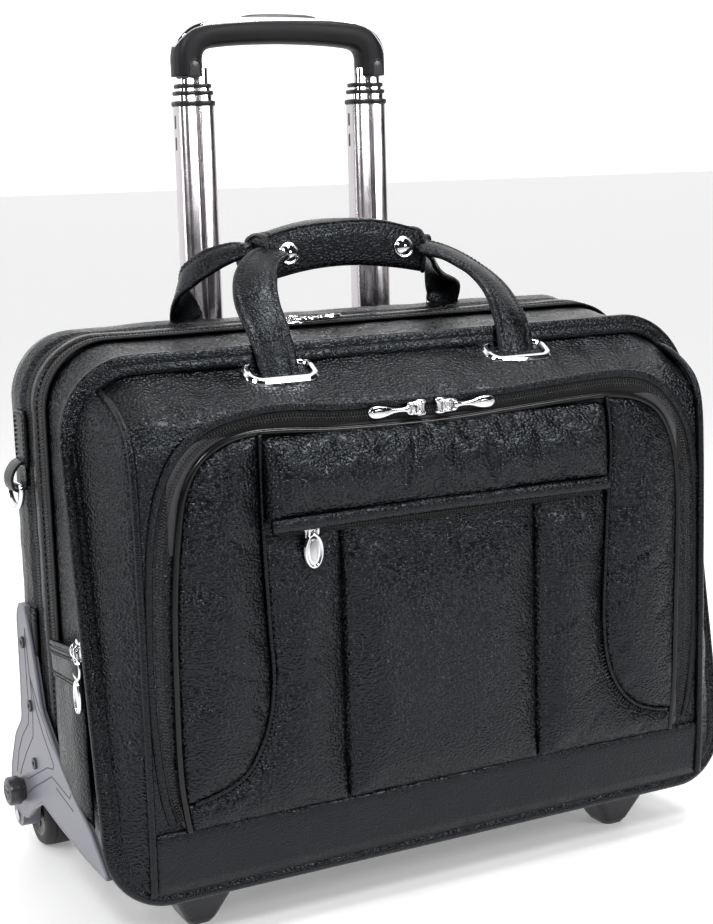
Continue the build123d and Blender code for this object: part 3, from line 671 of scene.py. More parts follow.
# Main gusset behind the welt, recessed at the sides, up to the front zip.
behind = [
    station(202.5, BAG_LOW, 323, 38, 30, 6, 52),
    station(200.2, BAG_LOW, 326, 38, 29, 14, 57),
    station(201.6, BAG_LOW, 328.5, 38, 28, 22, 61),
    station(198.0, BAG_LOW, 329.5, 38, 27, 38, 68),
    station(196.8, BAG_LOW, 331, 38, 26, 60, 80),
    station(197.6, BAG_LOW, 332.5, 38, 26, 82, 92),
    station(199.5, BAG_LOW, 333.2, 39, 27, 97, 99.5),
]
rows = []
for a, b in zip(behind, behind[1:]):
    rows += blend_stations(a, b, 7)[:-1]
rows.append(behind[-1])
ring_skin("main_gusset", rows, LEATHER, "front_section", sag=1.6, sag_scale=52, seed=11,
          slot="black_leather")


def zip_ring(name, depth, body, node, half=200.8, high=BAG_HIGH - 3.2):
    """Tape and teeth of a zip that runs round the bag."""
    front = station(half, BAG_LOW + 1, high, 39, 27, depth - 6.5, depth - 6.5)
    teeth_ring = station(half + 0.6, BAG_LOW + 1, high + 0.6, 39.5, 27.5, depth, depth)
    back = station(half, BAG_LOW + 1, high, 39, 27, depth + 6.5, depth + 6.5)
    parts = []
    for a, b in ((front, teeth_ring - np.array([0, 0.5, 0])), (teeth_ring + np.array([0, 0.5, 0]), back)):
        middle = (a + b) / 2
        parts.append(sweep(middle, box_profile(6.0, 0.9, 0.3, 1), outward(middle), closed=True))
    new_piece(f"{name}_tape", *merge(parts), TAPE, body, replaces=[node])
    new_piece(f"{name}_teeth", *zip_teeth(teeth_ring, outward(teeth_ring), closed=True), TEETH, body)


ZIP_B, ZIP_A = 104.3, 127.3
zip_ring("front_zip", ZIP_B, "front_section", "front_zip")
zip_ring("rear_zip", ZIP_A, "divider", "rear_zip")

# Divider band between the two zips.
rows = blend_stations(station(201.4, BAG_LOW, BAG_HIGH - 3, 40, 28, 109.5, 109.5),
                      station(203.2, BAG_LOW, BAG_HIGH - 1.2, 40, 28, 113, 113), 4)
rows += blend_stations(station(203.2, BAG_LOW, BAG_HIGH - 1.2, 40, 28, 118.5, 118.5),
                       station(201.4, BAG_LOW, BAG_HIGH - 3, 40, 28, 122, 122), 4)
ring_skin("divider_leather", rows, BINDING, "divider", sag=0.5, sag_scale=40, seed=21,
          replaces=["divider_band"], slot="black_leather")
parts = []
for depth in (110.8, 120.8):
    line = station(202.3, BAG_LOW, BAG_HIGH - 2.1, 40, 28, depth, depth)
    parts.append(stitch_row(line, outward(line), closed=True))
new_piece("divider_stitches", *merge(parts), THREAD, "divider")

# Rear compartment: puffed gusset that rounds over to the back panel.
rear = [
    station(201.2, BAG_LOW, BAG_HIGH - 3, 40, 28, 132.5, 132.5),
    station(203.4, BAG_LOW, BAG_HIGH - 1, 40, 28, 136, 136),
    station(204.2, BAG_LOW, BAG_HIGH + 0.5, 40, 28, 146, 146),
    station(203.4, BAG_LOW, BAG_HIGH, 40, 28, 155, 155),
    station(199.5, BAG_LOW + 1.5, BAG_HIGH - 3.5, 38, 26, 162.5, 162.5),
    station(192.0, BAG_LOW + 4, BAG_HIGH - 9, 34, 22, 167.0, 167.0),
]
rows = []
for a, b in zip(rear, rear[1:]):
    rows += blend_stations(a, b, 6)[:-1]
rows.append(rear[-1])
ring_skin("rear_leather", rows, LEATHER, "frame_body", sag=1.1, sag_scale=58, seed=31,
          replaces=["rear_shell"], slot="black_leather")
line = station(196.5, BAG_LOW + 2.5, BAG_HIGH - 5.5, 36, 24, 165.2, 165.2)
new_piece("rear_piping", *sweep(line, round_profile(2.4, 10), outward(line), closed=True), PIPING,
          "frame_body")


def filled_outline(half, low, high, top_radius, bottom_radius, depth, bulge=0.0, rows=40, columns=60):
    """Grid that fills a rounded outline on an upright plane, crowned by bulge."""
    grid = np.zeros((rows, columns, 3))
    for i, v in enumerate(np.linspace(0, 1, rows)):
        z = low + (high - low) * (0.5 - 0.5 * math.cos(math.pi * v))
        width = half
        if z > high - top_radius:
            width = half - top_radius + math.sqrt(max(0, top_radius ** 2 - (z - high + top_radius) ** 2))
        if z < low + bottom_radius:
            width = half - bottom_radius + math.sqrt(max(0, bottom_radius ** 2
                                                         - (low + bottom_radius - z) ** 2))
        x = np.linspace(-width, width, columns)
        crown = bulge * (1 - (x / half) ** 4) * (1 - (2 * (z - low) / (high - low) - 1) ** 4)
        grid[i] = np.column_stack([x, at(depth + crown), np.full(columns, z)])
    return grid


grid = filled_outline(193, BAG_LOW + 4, BAG_HIGH - 9, 34, 22, 167.6)
new_piece("back_panel", *slab(grid, grid - np.array([0, 2.2, 0])), LEATHER, "frame_body",
          replaces=["back_board"])


# ---- padded panels --------------------------------------------------------------------------
def rim_distance(points, rim):
    """Distance from each point to a closed outline, and whether it lies inside."""
    a, b = rim, np.roll(rim, -1, axis=0)
    step = b - a
    best = np.full(len(points), 1e9)
    crossings = np.zeros(len(points), int)
    for start, run in zip(a, step):
        t = np.clip(((points - start) @ run) / max(run @ run, 1e-12), 0, 1)
        best = np.minimum(best, np.linalg.norm(points - start - t[:, None] * run, axis=1))
        spans = (points[:, 1] < start[1]) != (points[:, 1] < start[1] + run[1])
        if abs(run[1]) > 1e-12:
            where = start[0] + (points[:, 1] - start[1]) / run[1] * run[0]
            crossings += (spans & (points[:, 0] < where)).astype(int)
    return best, crossings % 2 == 1


def fill(outline, step):
    """Triangles over a closed flat outline: points, faces, rim edges, distance from the rim."""
    rim = even(outline, step, closed=True)
    low, high = rim.min(axis=0), rim.max(axis=0)
    grid = []
    for row, z in enumerate(np.arange(low[1], high[1], step * 0.866)):
        x = np.arange(low[0], high[0], step) + (step / 2 if row % 2 else 0)
        grid.append(np.column_stack([x, np.full(len(x), z)]))
    grid = np.vstack(grid)
    distance, inside = rim_distance(grid, rim)
    points = np.vstack([rim, grid[inside & (distance > 0.55 * step)]])
    found = delaunay_2d_cdt([Vector(p) for p in points], [], [list(range(len(rim)))], 1, 1e-6)
    points = np.array([tuple(v) for v in found[0]])
    faces = [tuple(f) for f in found[2]]
    uses = {}
    for face in faces:
        for a, b in zip(face, face[1:] + face[:1]):
            uses[(a, b)] = 1
    edges = [(a, b) for a, b in uses if (b, a) not in uses]
    return points, faces, edges, rim_distance(points, rim)[0]


def settle(sheets, frames=22):
    """Cloth simulation: sheets sewn down at their rims fill out under the padding's pressure."""
    grow = 10.0
    scene = bpy.context.scene
    scene.frame_start, scene.frame_end = 1, frames
    cloths = []
    for points, faces, pinned, pressure, slack in sheets:
        mesh = bpy.data.meshes.new("settling")
        mesh.from_pydata([tuple(p) for p in points * MM * grow], [], faces)
        cloth = bpy.data.objects.new("settling", mesh)
        bpy.context.collection.objects.link(cloth)
        group = cloth.vertex_groups.new(name="sewn")
        group.add([int(i) for i in pinned], 1.0, "REPLACE")
        modifier = cloth.modifiers.new("cloth", "CLOTH")
        facts = modifier.settings
        facts.quality = 6
        facts.mass = 0.15
        facts.tension_stiffness = facts.compression_stiffness = 22
        facts.shear_stiffness = 12
        facts.bending_stiffness = 1.6
        facts.air_damping = 6
        facts.tension_damping = facts.compression_damping = 12
        facts.shrink_min = facts.shrink_max = -slack
        facts.vertex_group_mass = "sewn"
        facts.effector_weights.gravity = 0
        facts.use_pressure = True
        facts.uniform_pressure_force = pressure
        modifier.collision_settings.use_collision = False
        modifier.collision_settings.use_self_collision = False
        modifier.point_cache.frame_end = frames
        cloths.append(cloth)
    for number in range(1, frames + 1):
        scene.frame_set(number)
    graph = bpy.context.evaluated_depsgraph_get()
    settled = []
    for cloth in cloths:
        result = cloth.evaluated_get(graph).to_mesh()
        flat = np.zeros(len(result.vertices) * 3)
        result.vertices.foreach_get("co", flat)
        settled.append(flat.reshape(-1, 3) / MM / grow)
    for cloth in cloths:
        mesh = cloth.data
        bpy.data.objects.remove(cloth)
        bpy.data.meshes.remove(mesh)
    scene.frame_set(1)
    return settled


def thicken(points, faces, edges, offset):
    """Closed solid from a sheet and a copy of it moved by offset."""
    count = len(points)
    verts = np.vstack([points, points + np.asarray(offset, float)])
    solid = list(faces) + [tuple(i + count for i in f[::-1]) for f in faces]
    solid += [(b, a, a + count, b + count) for a, b in edges]
    return verts, solid


def rolled(distance, width):
    """Height of a seam's rounded shoulder, 0 on the seam and 1 beyond its width."""
    return np.sqrt(1 - (1 - np.clip(distance / width, 0, 1)) ** 2)


# ---- front pocket -----------------------------------------------------------------------------
POCKET_PIPING = [(-164.5, 71.5), (-168, 100), (-168.5, 147), (-167, 202), (-163, 240), (-158.5, 261),
                 (-150, 275.5),
                 (-138, 284), (-121, 288.5), (-101, 288.5), (-69, 286), (-30, 285), (8, 285), (51, 287),
                 (90, 288.8), (118, 289), (138, 285), (153, 276), (163, 258), (167.5, 232), (168, 200),
                 (167, 154), (165, 100), (162, 71.5)]
ZIP_TRACK = [(-168, 79), (-172, 95), (-176.5, 148), (-175.5, 204), (-172, 240), (-166, 262), (-156, 278),
             (-141, 288.5), (-118, 294), (-95, 295), (-69, 292.6), (-34, 291.5), (21, 291.5), (60, 293),
             (100, 295.2), (125, 295.4), (145, 291.5), (160, 280), (170.5, 263), (176, 240), (177.5, 200),
             (177, 140), (173, 95), (169, 79)]
LEFT_SEAM = [(-114.5, 300), (-114.5, 240), (-114, 215), (-112.5, 175), (-111.5, 153), (-114, 131),
             (-120, 114),
             (-130, 99), (-143, 92), (-156, 88.5), (-172, 87)]
RIGHT_SEAM = [(112, 300), (115.5, 276), (116.5, 253), (114.5, 227), (112.5, 190), (111, 150), (114, 124),
              (122, 106), (134, 94), (150, 87.5), (172, 85)]
PLEATS = (-66.5, 62.5)
SEAM_DEPTH = -2.6

piping_flat = spline(POCKET_PIPING, 1.5)
left_seam, right_seam = spline(LEFT_SEAM, 1.5), spline(RIGHT_SEAM, 1.5)


def on_front(flat, depth):
    """A flat line stood upright at one depth."""
    return np.column_stack([flat[:, 0], np.full(len(flat), at(depth)), flat[:, 1]])


def inset(line, amount):
    """Flat line moved sideways, towards the pocket's middle."""
    t = tangents(line)
    n = np.column_stack([t[:, 1], -t[:, 0]])
    toward = np.array([0, 180.0]) - line
    n *= np.sign(np.sum(n * toward, axis=1))[:, None]
    return line + n * amount


edge_line = inset(piping_flat, 0.8)
middle_index = len(edge_line) // 2


def crossing(line, seam, low, high):
    gaps = np.linalg.norm(line[low:high, None, :] - seam[None, :, :], axis=2)
    i, j = np.unravel_index(np.argmin(gaps), gaps.shape)
    return low + int(i), int(j)


left_low = crossing(edge_line, left_seam, 0, middle_index // 3)
left_high = crossing(edge_line, left_seam, middle_index // 2, middle_index)
right_high = crossing(edge_line, right_seam, middle_index, middle_index * 3 // 2)
right_low = crossing(edge_line, right_seam, middle_index * 5 // 3, len(edge_line))


def seam_between(seam, a, b):
    return seam[min(a, b):max(a, b) + 1]


left_part = seam_between(left_seam, left_high[1], left_low[1])
right_part = seam_between(right_seam, right_high[1], right_low[1])
bottom_z = 72.0
left_outline = np.vstack([edge_line[left_low[0]:left_high[0] + 1], left_part])
right_outline = np.vstack([edge_line[right_high[0]:right_low[0] + 1], right_part[::-1]])
top_line = edge_line[left_high[0]:right_high[0] + 1]


def top_at(x):
    return float(np.interp(x, top_line[:, 0], top_line[:, 1]))


def pleat_outline(low_x, high_x):
    """Outline of one pleat; the outer ones run out under the side panels' lower curves."""
    top = np.array([(x, top_at(x) - 0.4) for x in np.linspace(low_x, high_x, 30)])
    if low_x < -100:
        left = np.vstack([edge_line[:left_low[0] + 1], left_part[::-1]])
        left = left[left[:, 1] < top_at(low_x) - 2]
        right = np.array([(high_x, top_at(high_x) - 2), (high_x, bottom_z)])
        return np.vstack([left, right])
    if high_x > 100:
        left = np.array([(low_x, bottom_z), (low_x, top_at(low_x) - 2)])
        right = np.vstack([right_part, edge_line[right_low[0]:]])
        right = right[right[:, 1] < top_at(high_x) - 2]
        return np.vstack([left, right])
    return np.vstack([[(low_x, bottom_z)], [(low_x, top_at(low_x) - 2)], top[3:-3],
                      [(high_x, top_at(high_x) - 2)], [(high_x, bottom_z)]])


flap_outline = []
for cx, cz, start in ((flap_high[0] - 3, flap_high[2] - 3, 0), (flap_low[0] + 3, flap_high[2] - 3, 90),
                      (flap_low[0] + 3, flap_low[2] + 6, 180), (flap_high[0] - 3, flap_low[2] + 6, 270)):
    for angle in np.radians(start + np.linspace(0, 90, 5)):
        flap_outline.append((cx + 3 * math.cos(angle), cz + 3 * math.sin(angle)))
flap_outline = np.array(flap_outline)

STEP = 2.1
plans = [
    ("side_panel_left", left_outline, 5.2, 9.0, 1.1, 0.6),
    ("side_panel_right", right_outline, 5.2, 9.0, 1.1, 0.6),
    ("pleat_left", pleat_outline(-114, PLEATS[0]), 3.6, 9.0, 1.1, 0.6),
    ("pleat_middle", pleat_outline(*PLEATS), 4.2, 13.0, 0.35, 0.3),
    ("pleat_right", pleat_outline(PLEATS[1], 113), 3.6, 9.0, 1.1, 0.6),
    ("flap_pad", flap_outline, 5.4, 15.0, 2.4, 1.6),
]
sheets, details = [], []
for name, outline_points, lift, roll, pressure, slack in plans:
    flat, faces, edges, distance = fill(outline_points, STEP)
    crown = (1 - (flat[:, 0] / 172) ** 4) * (1 - np.abs((flat[:, 1] - 180) / 112) ** 3)
    depth = SEAM_DEPTH - lift * rolled(distance, roll) - 2.0 * np.clip(crown, 0, 1) * rolled(distance, 30)
    points = np.column_stack([flat[:, 0], at(depth), flat[:, 1]])
    soft = smooth_noise(points, 46, 40 + len(sheets)) * 0.7
    soft += smooth_noise(points, 19, 60 + len(sheets)) * 0.35
    points[:, 1] += soft * rolled(distance, 14) * 0.9
    if name == "flap_pad":
        drop = np.clip((flap_high[2] - flat[:, 1]) / 26, 0, 1)
        points[:, 1] -= 1.0 + 5.4 * np.sin(drop * math.pi / 2) ** 0.8
        sagging = 1.6 * np.sin((flat[:, 0] + 30) / 38) * np.clip((flat[:, 1] - 250) / 30, 0, 1)
        points[:, 1] += sagging * rolled(distance, 16)
    else:
        behind_flap = np.clip((232 - flat[:, 1]) / 18, 0,
                              1) if name.startswith("pleat") else np.ones(len(flat))
        points[:, 1] = at(SEAM_DEPTH) + (points[:, 1] - at(SEAM_DEPTH)) * (0.25 + 0.75 * behind_flap)
        lean = np.exp(-np.clip(flat[:, 1] - 74, 0, 60) / 9) * 0.8
        points[:, 1] -= lean
    pinned = np.unique(np.array(edges).ravel())
    if name.startswith("pleat"):
        pinned = np.union1d(pinned, np.flatnonzero(flat[:, 1] > 222))
    sheets.append((points, faces, pinned, pressure, slack / 100))
    details.append((name, faces, edges))

for (name, faces, edges), points in zip(details, settle(sheets)):
    verts, solid = thicken(points, faces, edges, (0, 1.8, 0))
    pad = new_piece(name, verts, solid, LEATHER, "pocket_door", fix=False,
                    replaces=["pocket_flap"] if name == "flap_pad" else ["pocket_panel"])

# Lining board behind the door, and the door's folded edge.
grid = filled_outline(168.5, 73, 288, 26, 4, -1.0)
new_piece("door_lining", *slab(grid - np.array([0, 0.9, 0]), grid + np.array([0, 0.7, 0])), LINING,
          "pocket_door", slot="black_leather")

new_piece("pocket_piping", *sweep(on_front(piping_flat, -3.1), round_profile(2.1, 12), (0, -1, 0)), PIPING,
          "pocket_door")

track_flat = spline(ZIP_TRACK, 1.5)
track = on_front(track_flat, -1.5)


def track_offset(amount, depth):
    """The zip's line moved towards (positive) or away from the pocket's middle."""
    return on_front(inset(track_flat, amount), depth)


new_piece("pocket_tape_inner", *sweep(track_offset(4.2, -1.2), box_profile(7.2, 0.9, 0.3, 1), (0, -1, 0)),
          TAPE, "pocket_door")
new_piece("pocket_tape_outer", *sweep(track_offset(-2.6, -1.0), box_profile(4.6, 0.9, 0.3, 1), (0, -1, 0)),
          TAPE, "front_section", replaces=["pocket_rim"])
new_piece("pocket_zip_teeth", *zip_teeth(track, (0, -1, 0), pitch=1.8, width=4.4), TEETH, "pocket_door")
hem = track_offset(-6.0, -1.3)
new_piece("pocket_zip_hem", *sweep(hem, box_profile(5.0, 2.6, 1.2, 4), (0, -1, 0)), SMOOTH_LEATHER,
          "front_section", slot="zip_black")
new_piece("pocket_zip_stitches",
          *stitch_row(track_offset(-7.2, -2.6), (0, -1, 0), pitch=3.0, length=2.1, radius=0.3), THREAD,
          "front_section", slot="zip_black")

# Side panels' folded edges and their gathers.
parts = []
for seam in (left_part, right_part):
    line = spline(on_front(seam, -5.2)[::4], 2.0)
    parts.append(sweep(line, box_profile(2.6, 2.2, 1.0, 3), (0, -1, 0)))
new_piece("side_panel_edges", *merge(parts), SMOOTH_LEATHER, "pocket_door")

parts = []
for seam, side in ((left_part, 1), (right_part, -1)):
    curve = seam[(seam[:, 1] < 150) & (np.abs(seam[:, 0]) < 160)]
    curve = even(curve, 2.3)
    t = tangents(curve)
    n = np.column_stack([t[:, 1], -t[:, 0]])
    n *= np.sign(np.sum(n * (np.array([0, 60.0]) - curve), axis=1))[:, None]
    strength = np.clip((150 - curve[:, 1]) / 30, 0.15, 1)
    for place_flat, away, along, size in zip(curve, n, t, strength):
        shape, pleat_faces = capsule(7.5 * size + 1.5, 0.85 * size + 0.15, squash=0.8)
        middle = place_flat + away * (4.4 * size + 0.9)
        origin = np.array([[middle[0], at(-4.9), middle[1]]])
        away3, along3 = np.array([[away[0], 0, away[1]]]), np.array([[along[0], 0, along[1]]])
        parts.append(instances(shape, pleat_faces, origin, away3, np.array([[0, -1.0, 0]]), along3))
new_piece("gathers", *merge(parts), SMOOTH_LEATHER, "pocket_door")

# The flap's smooth hem, rolled round a cord, and the zip that runs behind it.
hem_line = np.array([(x, at(-12.6 + 0.5 * math.cos(x / 40)), flap_low[2] + 2.2 + 0.6 * math.cos(x / 55))
                     for x in np.linspace(flap_low[0] + 1.5, flap_high[0] - 1.5, 90)])
hem_profile = np.array([(-3.9, -0.9), (-3.2, -1.5), (0, -1.7), (3.4, -1.3), (4.4, -0.2), (3.6, 1.1),
                        (1.6, 1.8),
                        (-1.6, 1.9), (-3.4, 1.2)])
new_piece("flap_hem", *sweep(hem_line, hem_profile * np.array([1.0, 1.1]), (0, -1, 0)), SMOOTH_LEATHER,
          "pocket_door")
flap_zip_line = np.array([(x, at(-5.6), 233.5) for x in np.linspace(-106, 103, 80)])
new_piece("flap_zip_tape", *sweep(flap_zip_line, box_profile(7, 0.9, 0.3, 1), (0, -1, 0)), TAPE,
          "pocket_door", slot="black_leather")
new_piece("flap_zip_teeth", *zip_teeth(flap_zip_line + np.array([0, -0.5, 0]), (0, -1, 0), pitch=1.8,
                                       width=4.2), TEETH, "pocket_door", slot="black_leather")

# Smooth band along the foot of the front, with a folded top edge.
band_rows = []
for z, depth in ((72.6, -0.9), (72.2, -2.6), (70.4, -3.3), (66, -3.2), (58, -2.7), (50, -2.1), (43, -1.6),
                 (BAG_LOW + 1, -1.0)):
    x = np.linspace(-PIPING_HALF + 1.5, PIPING_HALF - 1.5, 110)
    band_rows.append(np.column_stack([x, np.full(110, at(depth)), z + 0.6 * np.sin(x / 31) * (z > 69)]))
band = np.array(band_rows)
band[:, :, 1] += 0.35 * smooth_noise(band.reshape(-1, 3), 50, 70).reshape(band.shape[:2])
new_piece("foot_band", *slab(band, band + np.array([0, 1.4, 0])), SMOOTH_LEATHER, "front_section")


# ---- metal fittings -------------------------------------------------------------------------
def plate(outline, thick, edge, origin, ax, ay, an):
    """Flat part with rounded edges, built up along an from a flat outline in ax and ay."""
    outline = np.asarray(outline, float)
    t = tangents(outline, closed=True)
    n = np.column_stack([t[:, 1], -t[:, 0]])
    if np.sum(n * (outline - outline.mean(axis=0))) < 0:
        n = -n
    ax, ay, an, origin = (np.asarray(v, float) for v in (ax, ay, an, origin))
    rows = []
    for height, pull_in in ((0, edge), (edge * 0.3, edge * 0.3), (edge, 0), (thick - edge, 0),
                            (thick - edge * 0.3, edge * 0.3), (thick, edge)):
        flat = outline - n * pull_in
        rows.append(origin + flat[:, :1] * ax + flat[:, 1:] * ay + height * an)
    return lofted(rows)


def ellipse(width, height, cx=0.0, cy=0.0, count=36):
    angle = np.arange(count) * 2 * math.pi / count
    return np.column_stack([cx + width / 2 * np.cos(angle), cy + height / 2 * np.sin(angle)])


def loop_of(outline, origin, ax, ay, radius, normal, flat=1.0):
    """Wire that follows a closed flat outline."""
    ax, ay, origin = (np.asarray(v, float) for v in (ax, ay, origin))
    path = origin + outline[:, :1] * ax + outline[:, 1:] * ay
    return sweep(path, round_profile(radius, 10, flat), normal, closed=True)


def dome(radius, rise, origin, ax, ay, an, rings=7, around=28, rim=0.6):
    """Shallow button with a rolled rim and a raised ring."""
    rows = [(radius - 0.3, 0.0), (radius, rim * 0.4), (radius, rim), (radius - 0.4, rim + 0.35)]
    rows += [(radius * 0.84, rim + 0.2), (radius * 0.80, rim - 0.1), (radius * 0.74, rim + 0.25)]
    for k in range(1, rings):
        u = k / rings
        rows.append((radius * 0.72 * (1 - u), rim + 0.3 + (rise - rim) * math.sin(u * math.pi / 2)))
    turns = [2 * math.pi * k / around for k in range(around)]
    rings = [np.array([origin + ax * r * math.cos(a) + ay * r * math.sin(a) + an * h for a in turns])
             for r, h in rows]
    return lofted(rings)


def slider_body(origin, along, out):
    """Zip slider: split nose, flat cheeks and a horseshoe bridge."""
    origin, along, out = (np.asarray(v, float) for v in (origin, along, out))
    side = np.cross(out, along)
    body = [(-6.4, -3.4), (-5.2, -4.6), (-1.2, -4.7), (1.4, -3.7), (5.0, -3.6), (6.0, -2.6), (6.0, 2.6),
            (5.0, 3.6), (1.4, 3.7), (-1.2, 4.7), (-5.2, 4.6), (-6.4, 3.4), (-5.0, 1.0), (-5.0, -1.0)]
    parts = [plate(even(np.array(body), 1.2, True), 2.1, 0.6, origin, along, side, out)]
    for turn in (-1, 1):
        arch = np.array([(-3.6, 1.6), (-3.4, 3.8), (-1.8, 5.0), (1.6, 5.0), (3.3, 3.8), (3.5, 1.6)])
        path = spline(origin + arch[:, :1] * along + arch[:, 1:] * out + side * turn * 2.7, 0.8)
        parts.append(sweep(path, round_profile(0.75, 8), side))
    bar = np.array([origin + out * 3.4 - side * 3.3, origin + out * 3.4 + side * 3.3])
    parts.append(sweep(even(bar, 0.8), round_profile(0.8, 8), out))
    ring = np.array([(-3.0, -3.2), (-3.0, 3.2), (3.2, 2.9), (3.2, -2.9)])
    parts.append(loop_of(even(ring, 1.0, True), origin + out * 2.0, along, side, 0.55, out))
    return merge(parts)


def slider_pull(origin, along, out, length, width, kind):
    """Pull that lies along its run from the slider's pin: an eye, a neck and a tab."""
    origin, along, out = (np.asarray(v, float) for v in (origin, along, out))
    side = np.cross(out, along)
    pin = origin + out * 3.4
    parts, face = [], []
    eye = rounded_rectangle(8.6, 5.6, 2.2, 2.6, 0)
    parts.append(loop_of(even(eye, 0.8, True), pin, along, side, 0.85, out))
    if kind == "oval":
        middle = (length + 1.0) / 2 + 1.5
        parts = [plate(ellipse(length + 1.0, width, middle, 0, 48), 2.0, 0.8, pin - out * 0.6, along, side,
                       out)]
        parts.append(loop_of(ellipse(length - 1.2, width - 2.2, middle, 0, 48), pin + out * 1.35, along,
                             side,
                             0.95, out))
        face.append(plate(ellipse(length - 6.0, width - 7.0, middle, 0, 40), 0.9, 0.3, pin + out * 1.2,
                          along,
                          side, out))
    elif kind == "ring":
        parts.append(loop_of(ellipse(13, 12, 9.5, 0, 30), pin, along, side, 1.0, out))
        parts.append(plate(ellipse(length - 11, width, length * 0.5 + 10.5, 0, 36), 1.9, 0.7,
                           pin - out * 0.9,
                           along, side, out))
        parts.append(loop_of(ellipse(length - 13, width - 2.6, length * 0.5 + 10.5, 0, 36), pin + out * 1.0,
                             along, side, 0.6, out))
    else:
        neck = np.array([(5.4, -1.7), (10, -1.2), (length * 0.5, -1.5), (length * 0.66, -width / 2 + 0.6),
                         (length * 0.8, -width / 2), (length - 2, -width / 2 + 0.6), (length, -0.6),
                         (length, 0.6),
                         (length - 2, width / 2 - 0.6), (length * 0.8, width / 2),
                         (length * 0.66, width / 2 - 0.6),
                         (length * 0.5, 1.5), (10, 1.2), (5.4, 1.7)])
        parts.append(plate(spline(neck, 1.1, True), 2.0, 0.7, pin - out * 1.0, along, side, out))
        parts.append(plate(ellipse(length * 0.26, width * 0.45, length * 0.8, 0, 28), 0.5, 0.2,
                           pin + out * 0.9,
                           along, side, out))
    return merge(parts), (merge(face) if face else None)


def fit_slider(node, pull_node, body, pull_body, along, out, length, width, kind, shift=(0, 0, 0)):
    low, high = span(node)
    out, along = np.array(out, float), np.array(along, float)
    face = np.where(out > 0, low, high)
    base = (low + high) / 2 * (1 - np.abs(out)) + face * np.abs(out) + np.array(shift)
    new_piece(f"{node}_metal", *slider_body(base, along, out), CHROME, body, replaces=[node])
    (verts, faces), face_part = slider_pull(base, along, out, length, width, kind)
    new_piece(f"{pull_node}_metal", verts, faces, CHROME, pull_body, replaces=[pull_node])
    if face_part:
        new_piece(f"{pull_node}_inlay", *face_part, STEEL, pull_body, slot="chrome")


fit_slider("pocket_slider_left", "pocket_pull_left", "pocket_slider_l", "pocket_pull_l", (-1, 0, 0),
           (0, -1, 0),
           32, 7.0, "tab", (0, 2.6, 0.6))
fit_slider("pocket_slider_right", "pocket_pull_right", "pocket_slider_r", "pocket_pull_r", (1, 0, 0),
           (0, -1, 0),
           32, 7.0, "tab", (0, 2.6, 0.6))
fit_slider("flap_slider", "flap_pull", "flap_slider_body", "flap_pull_body", (0, 0, -1), (0, -1, 0),
           19.5, 12.0, "oval")
fit_slider("top_slider", "top_pull", "top_slider_body", "top_pull_body", (1, 0, 0), (0, 0, 1),
           28, 8.0, "ring", (0, 0.8, 0.2))

for side, tag in ((-1, "left"), (1, "right")):
    base = np.array([side * 203.3, at(50), 168.0])
    new_piece(f"side_slider_{tag}_metal", *slider_body(base, (0, 0, -1), (side, 0, 0)), CHROME,
              "front_section",
              replaces=["side_sliders"])
    (verts, faces), _ = slider_pull(base, (0, 0, -1), (side, 0, 0), 31, 10, "ring")
    new_piece(f"side_pull_{tag}_metal", verts, faces, CHROME, f"side_pull_{tag[0]}",
              replaces=[f"side_pull_{tag}"])

# Grommets: faceted frames let into the shoulder.
lean = np.array([0, 25.0, 14.0]) / math.hypot(25, 14)
rise = np.array([0, -14.0, 25.0]) / math.hypot(25, 14)
for side, tag in ((-1, "left"), (1, "right")):
    centre = np.array([side * 79.5, at(41), 315.0])
    frame_line = np.array([(20.5, -4.6), (20.5, 4.6), (16.0, 8.6), (-16.0, 8.6), (-20.5, 4.6), (-20.5, -4.6),
                           (-16.0, -8.6),
                           (16.0, -8.6)])
    rounded = []
    for k, point in enumerate(frame_line):
        before, after = frame_line[k - 1], frame_line[(k + 1) % len(frame_line)]
        for t in (0.0, 0.5, 1.0):
            a = point + (before - point) / np.linalg.norm(before - point) * 2.2 * (1 - t)
            b = point + (after - point) / np.linalg.norm(after - point) * 2.2 * t
            rounded.append((a + b) / 2 if t == 0.5 else (a if t == 0.0 else b))
    rounded = np.array(rounded)
    path = centre + rounded[:, :1] * np.array([1.0, 0, 0]) + rounded[:, 1:] * lean
    section = np.array([(-2.9, -2.4), (-2.9, 0.6), (-1.5, 2.1), (1.1, 2.1), (2.9, 0.4), (2.9, -2.4)])
    s = cross_frames(path, rise, True)[2]
    flip = 1 if np.sum(s * (path - centre)) > 0 else -1
    piece = new_piece(f"grommet_{tag}", *sweep(path, section * np.array([flip, 1]), rise, closed=True),
                      CHROME, "front_section",
                      replaces=["front_grommets"])
    shade_by_angle(piece, 28)
    bevel(piece, 0.35, 2, 25)
    new_piece(f"grommet_dark_{tag}",
              *plate(rounded_rectangle(38, 15, 3), 1.2, 0.3, centre + rise * -2.6, (1, 0, 0), lean, rise),
              LINING, "front_section",
              slot="black_leather")

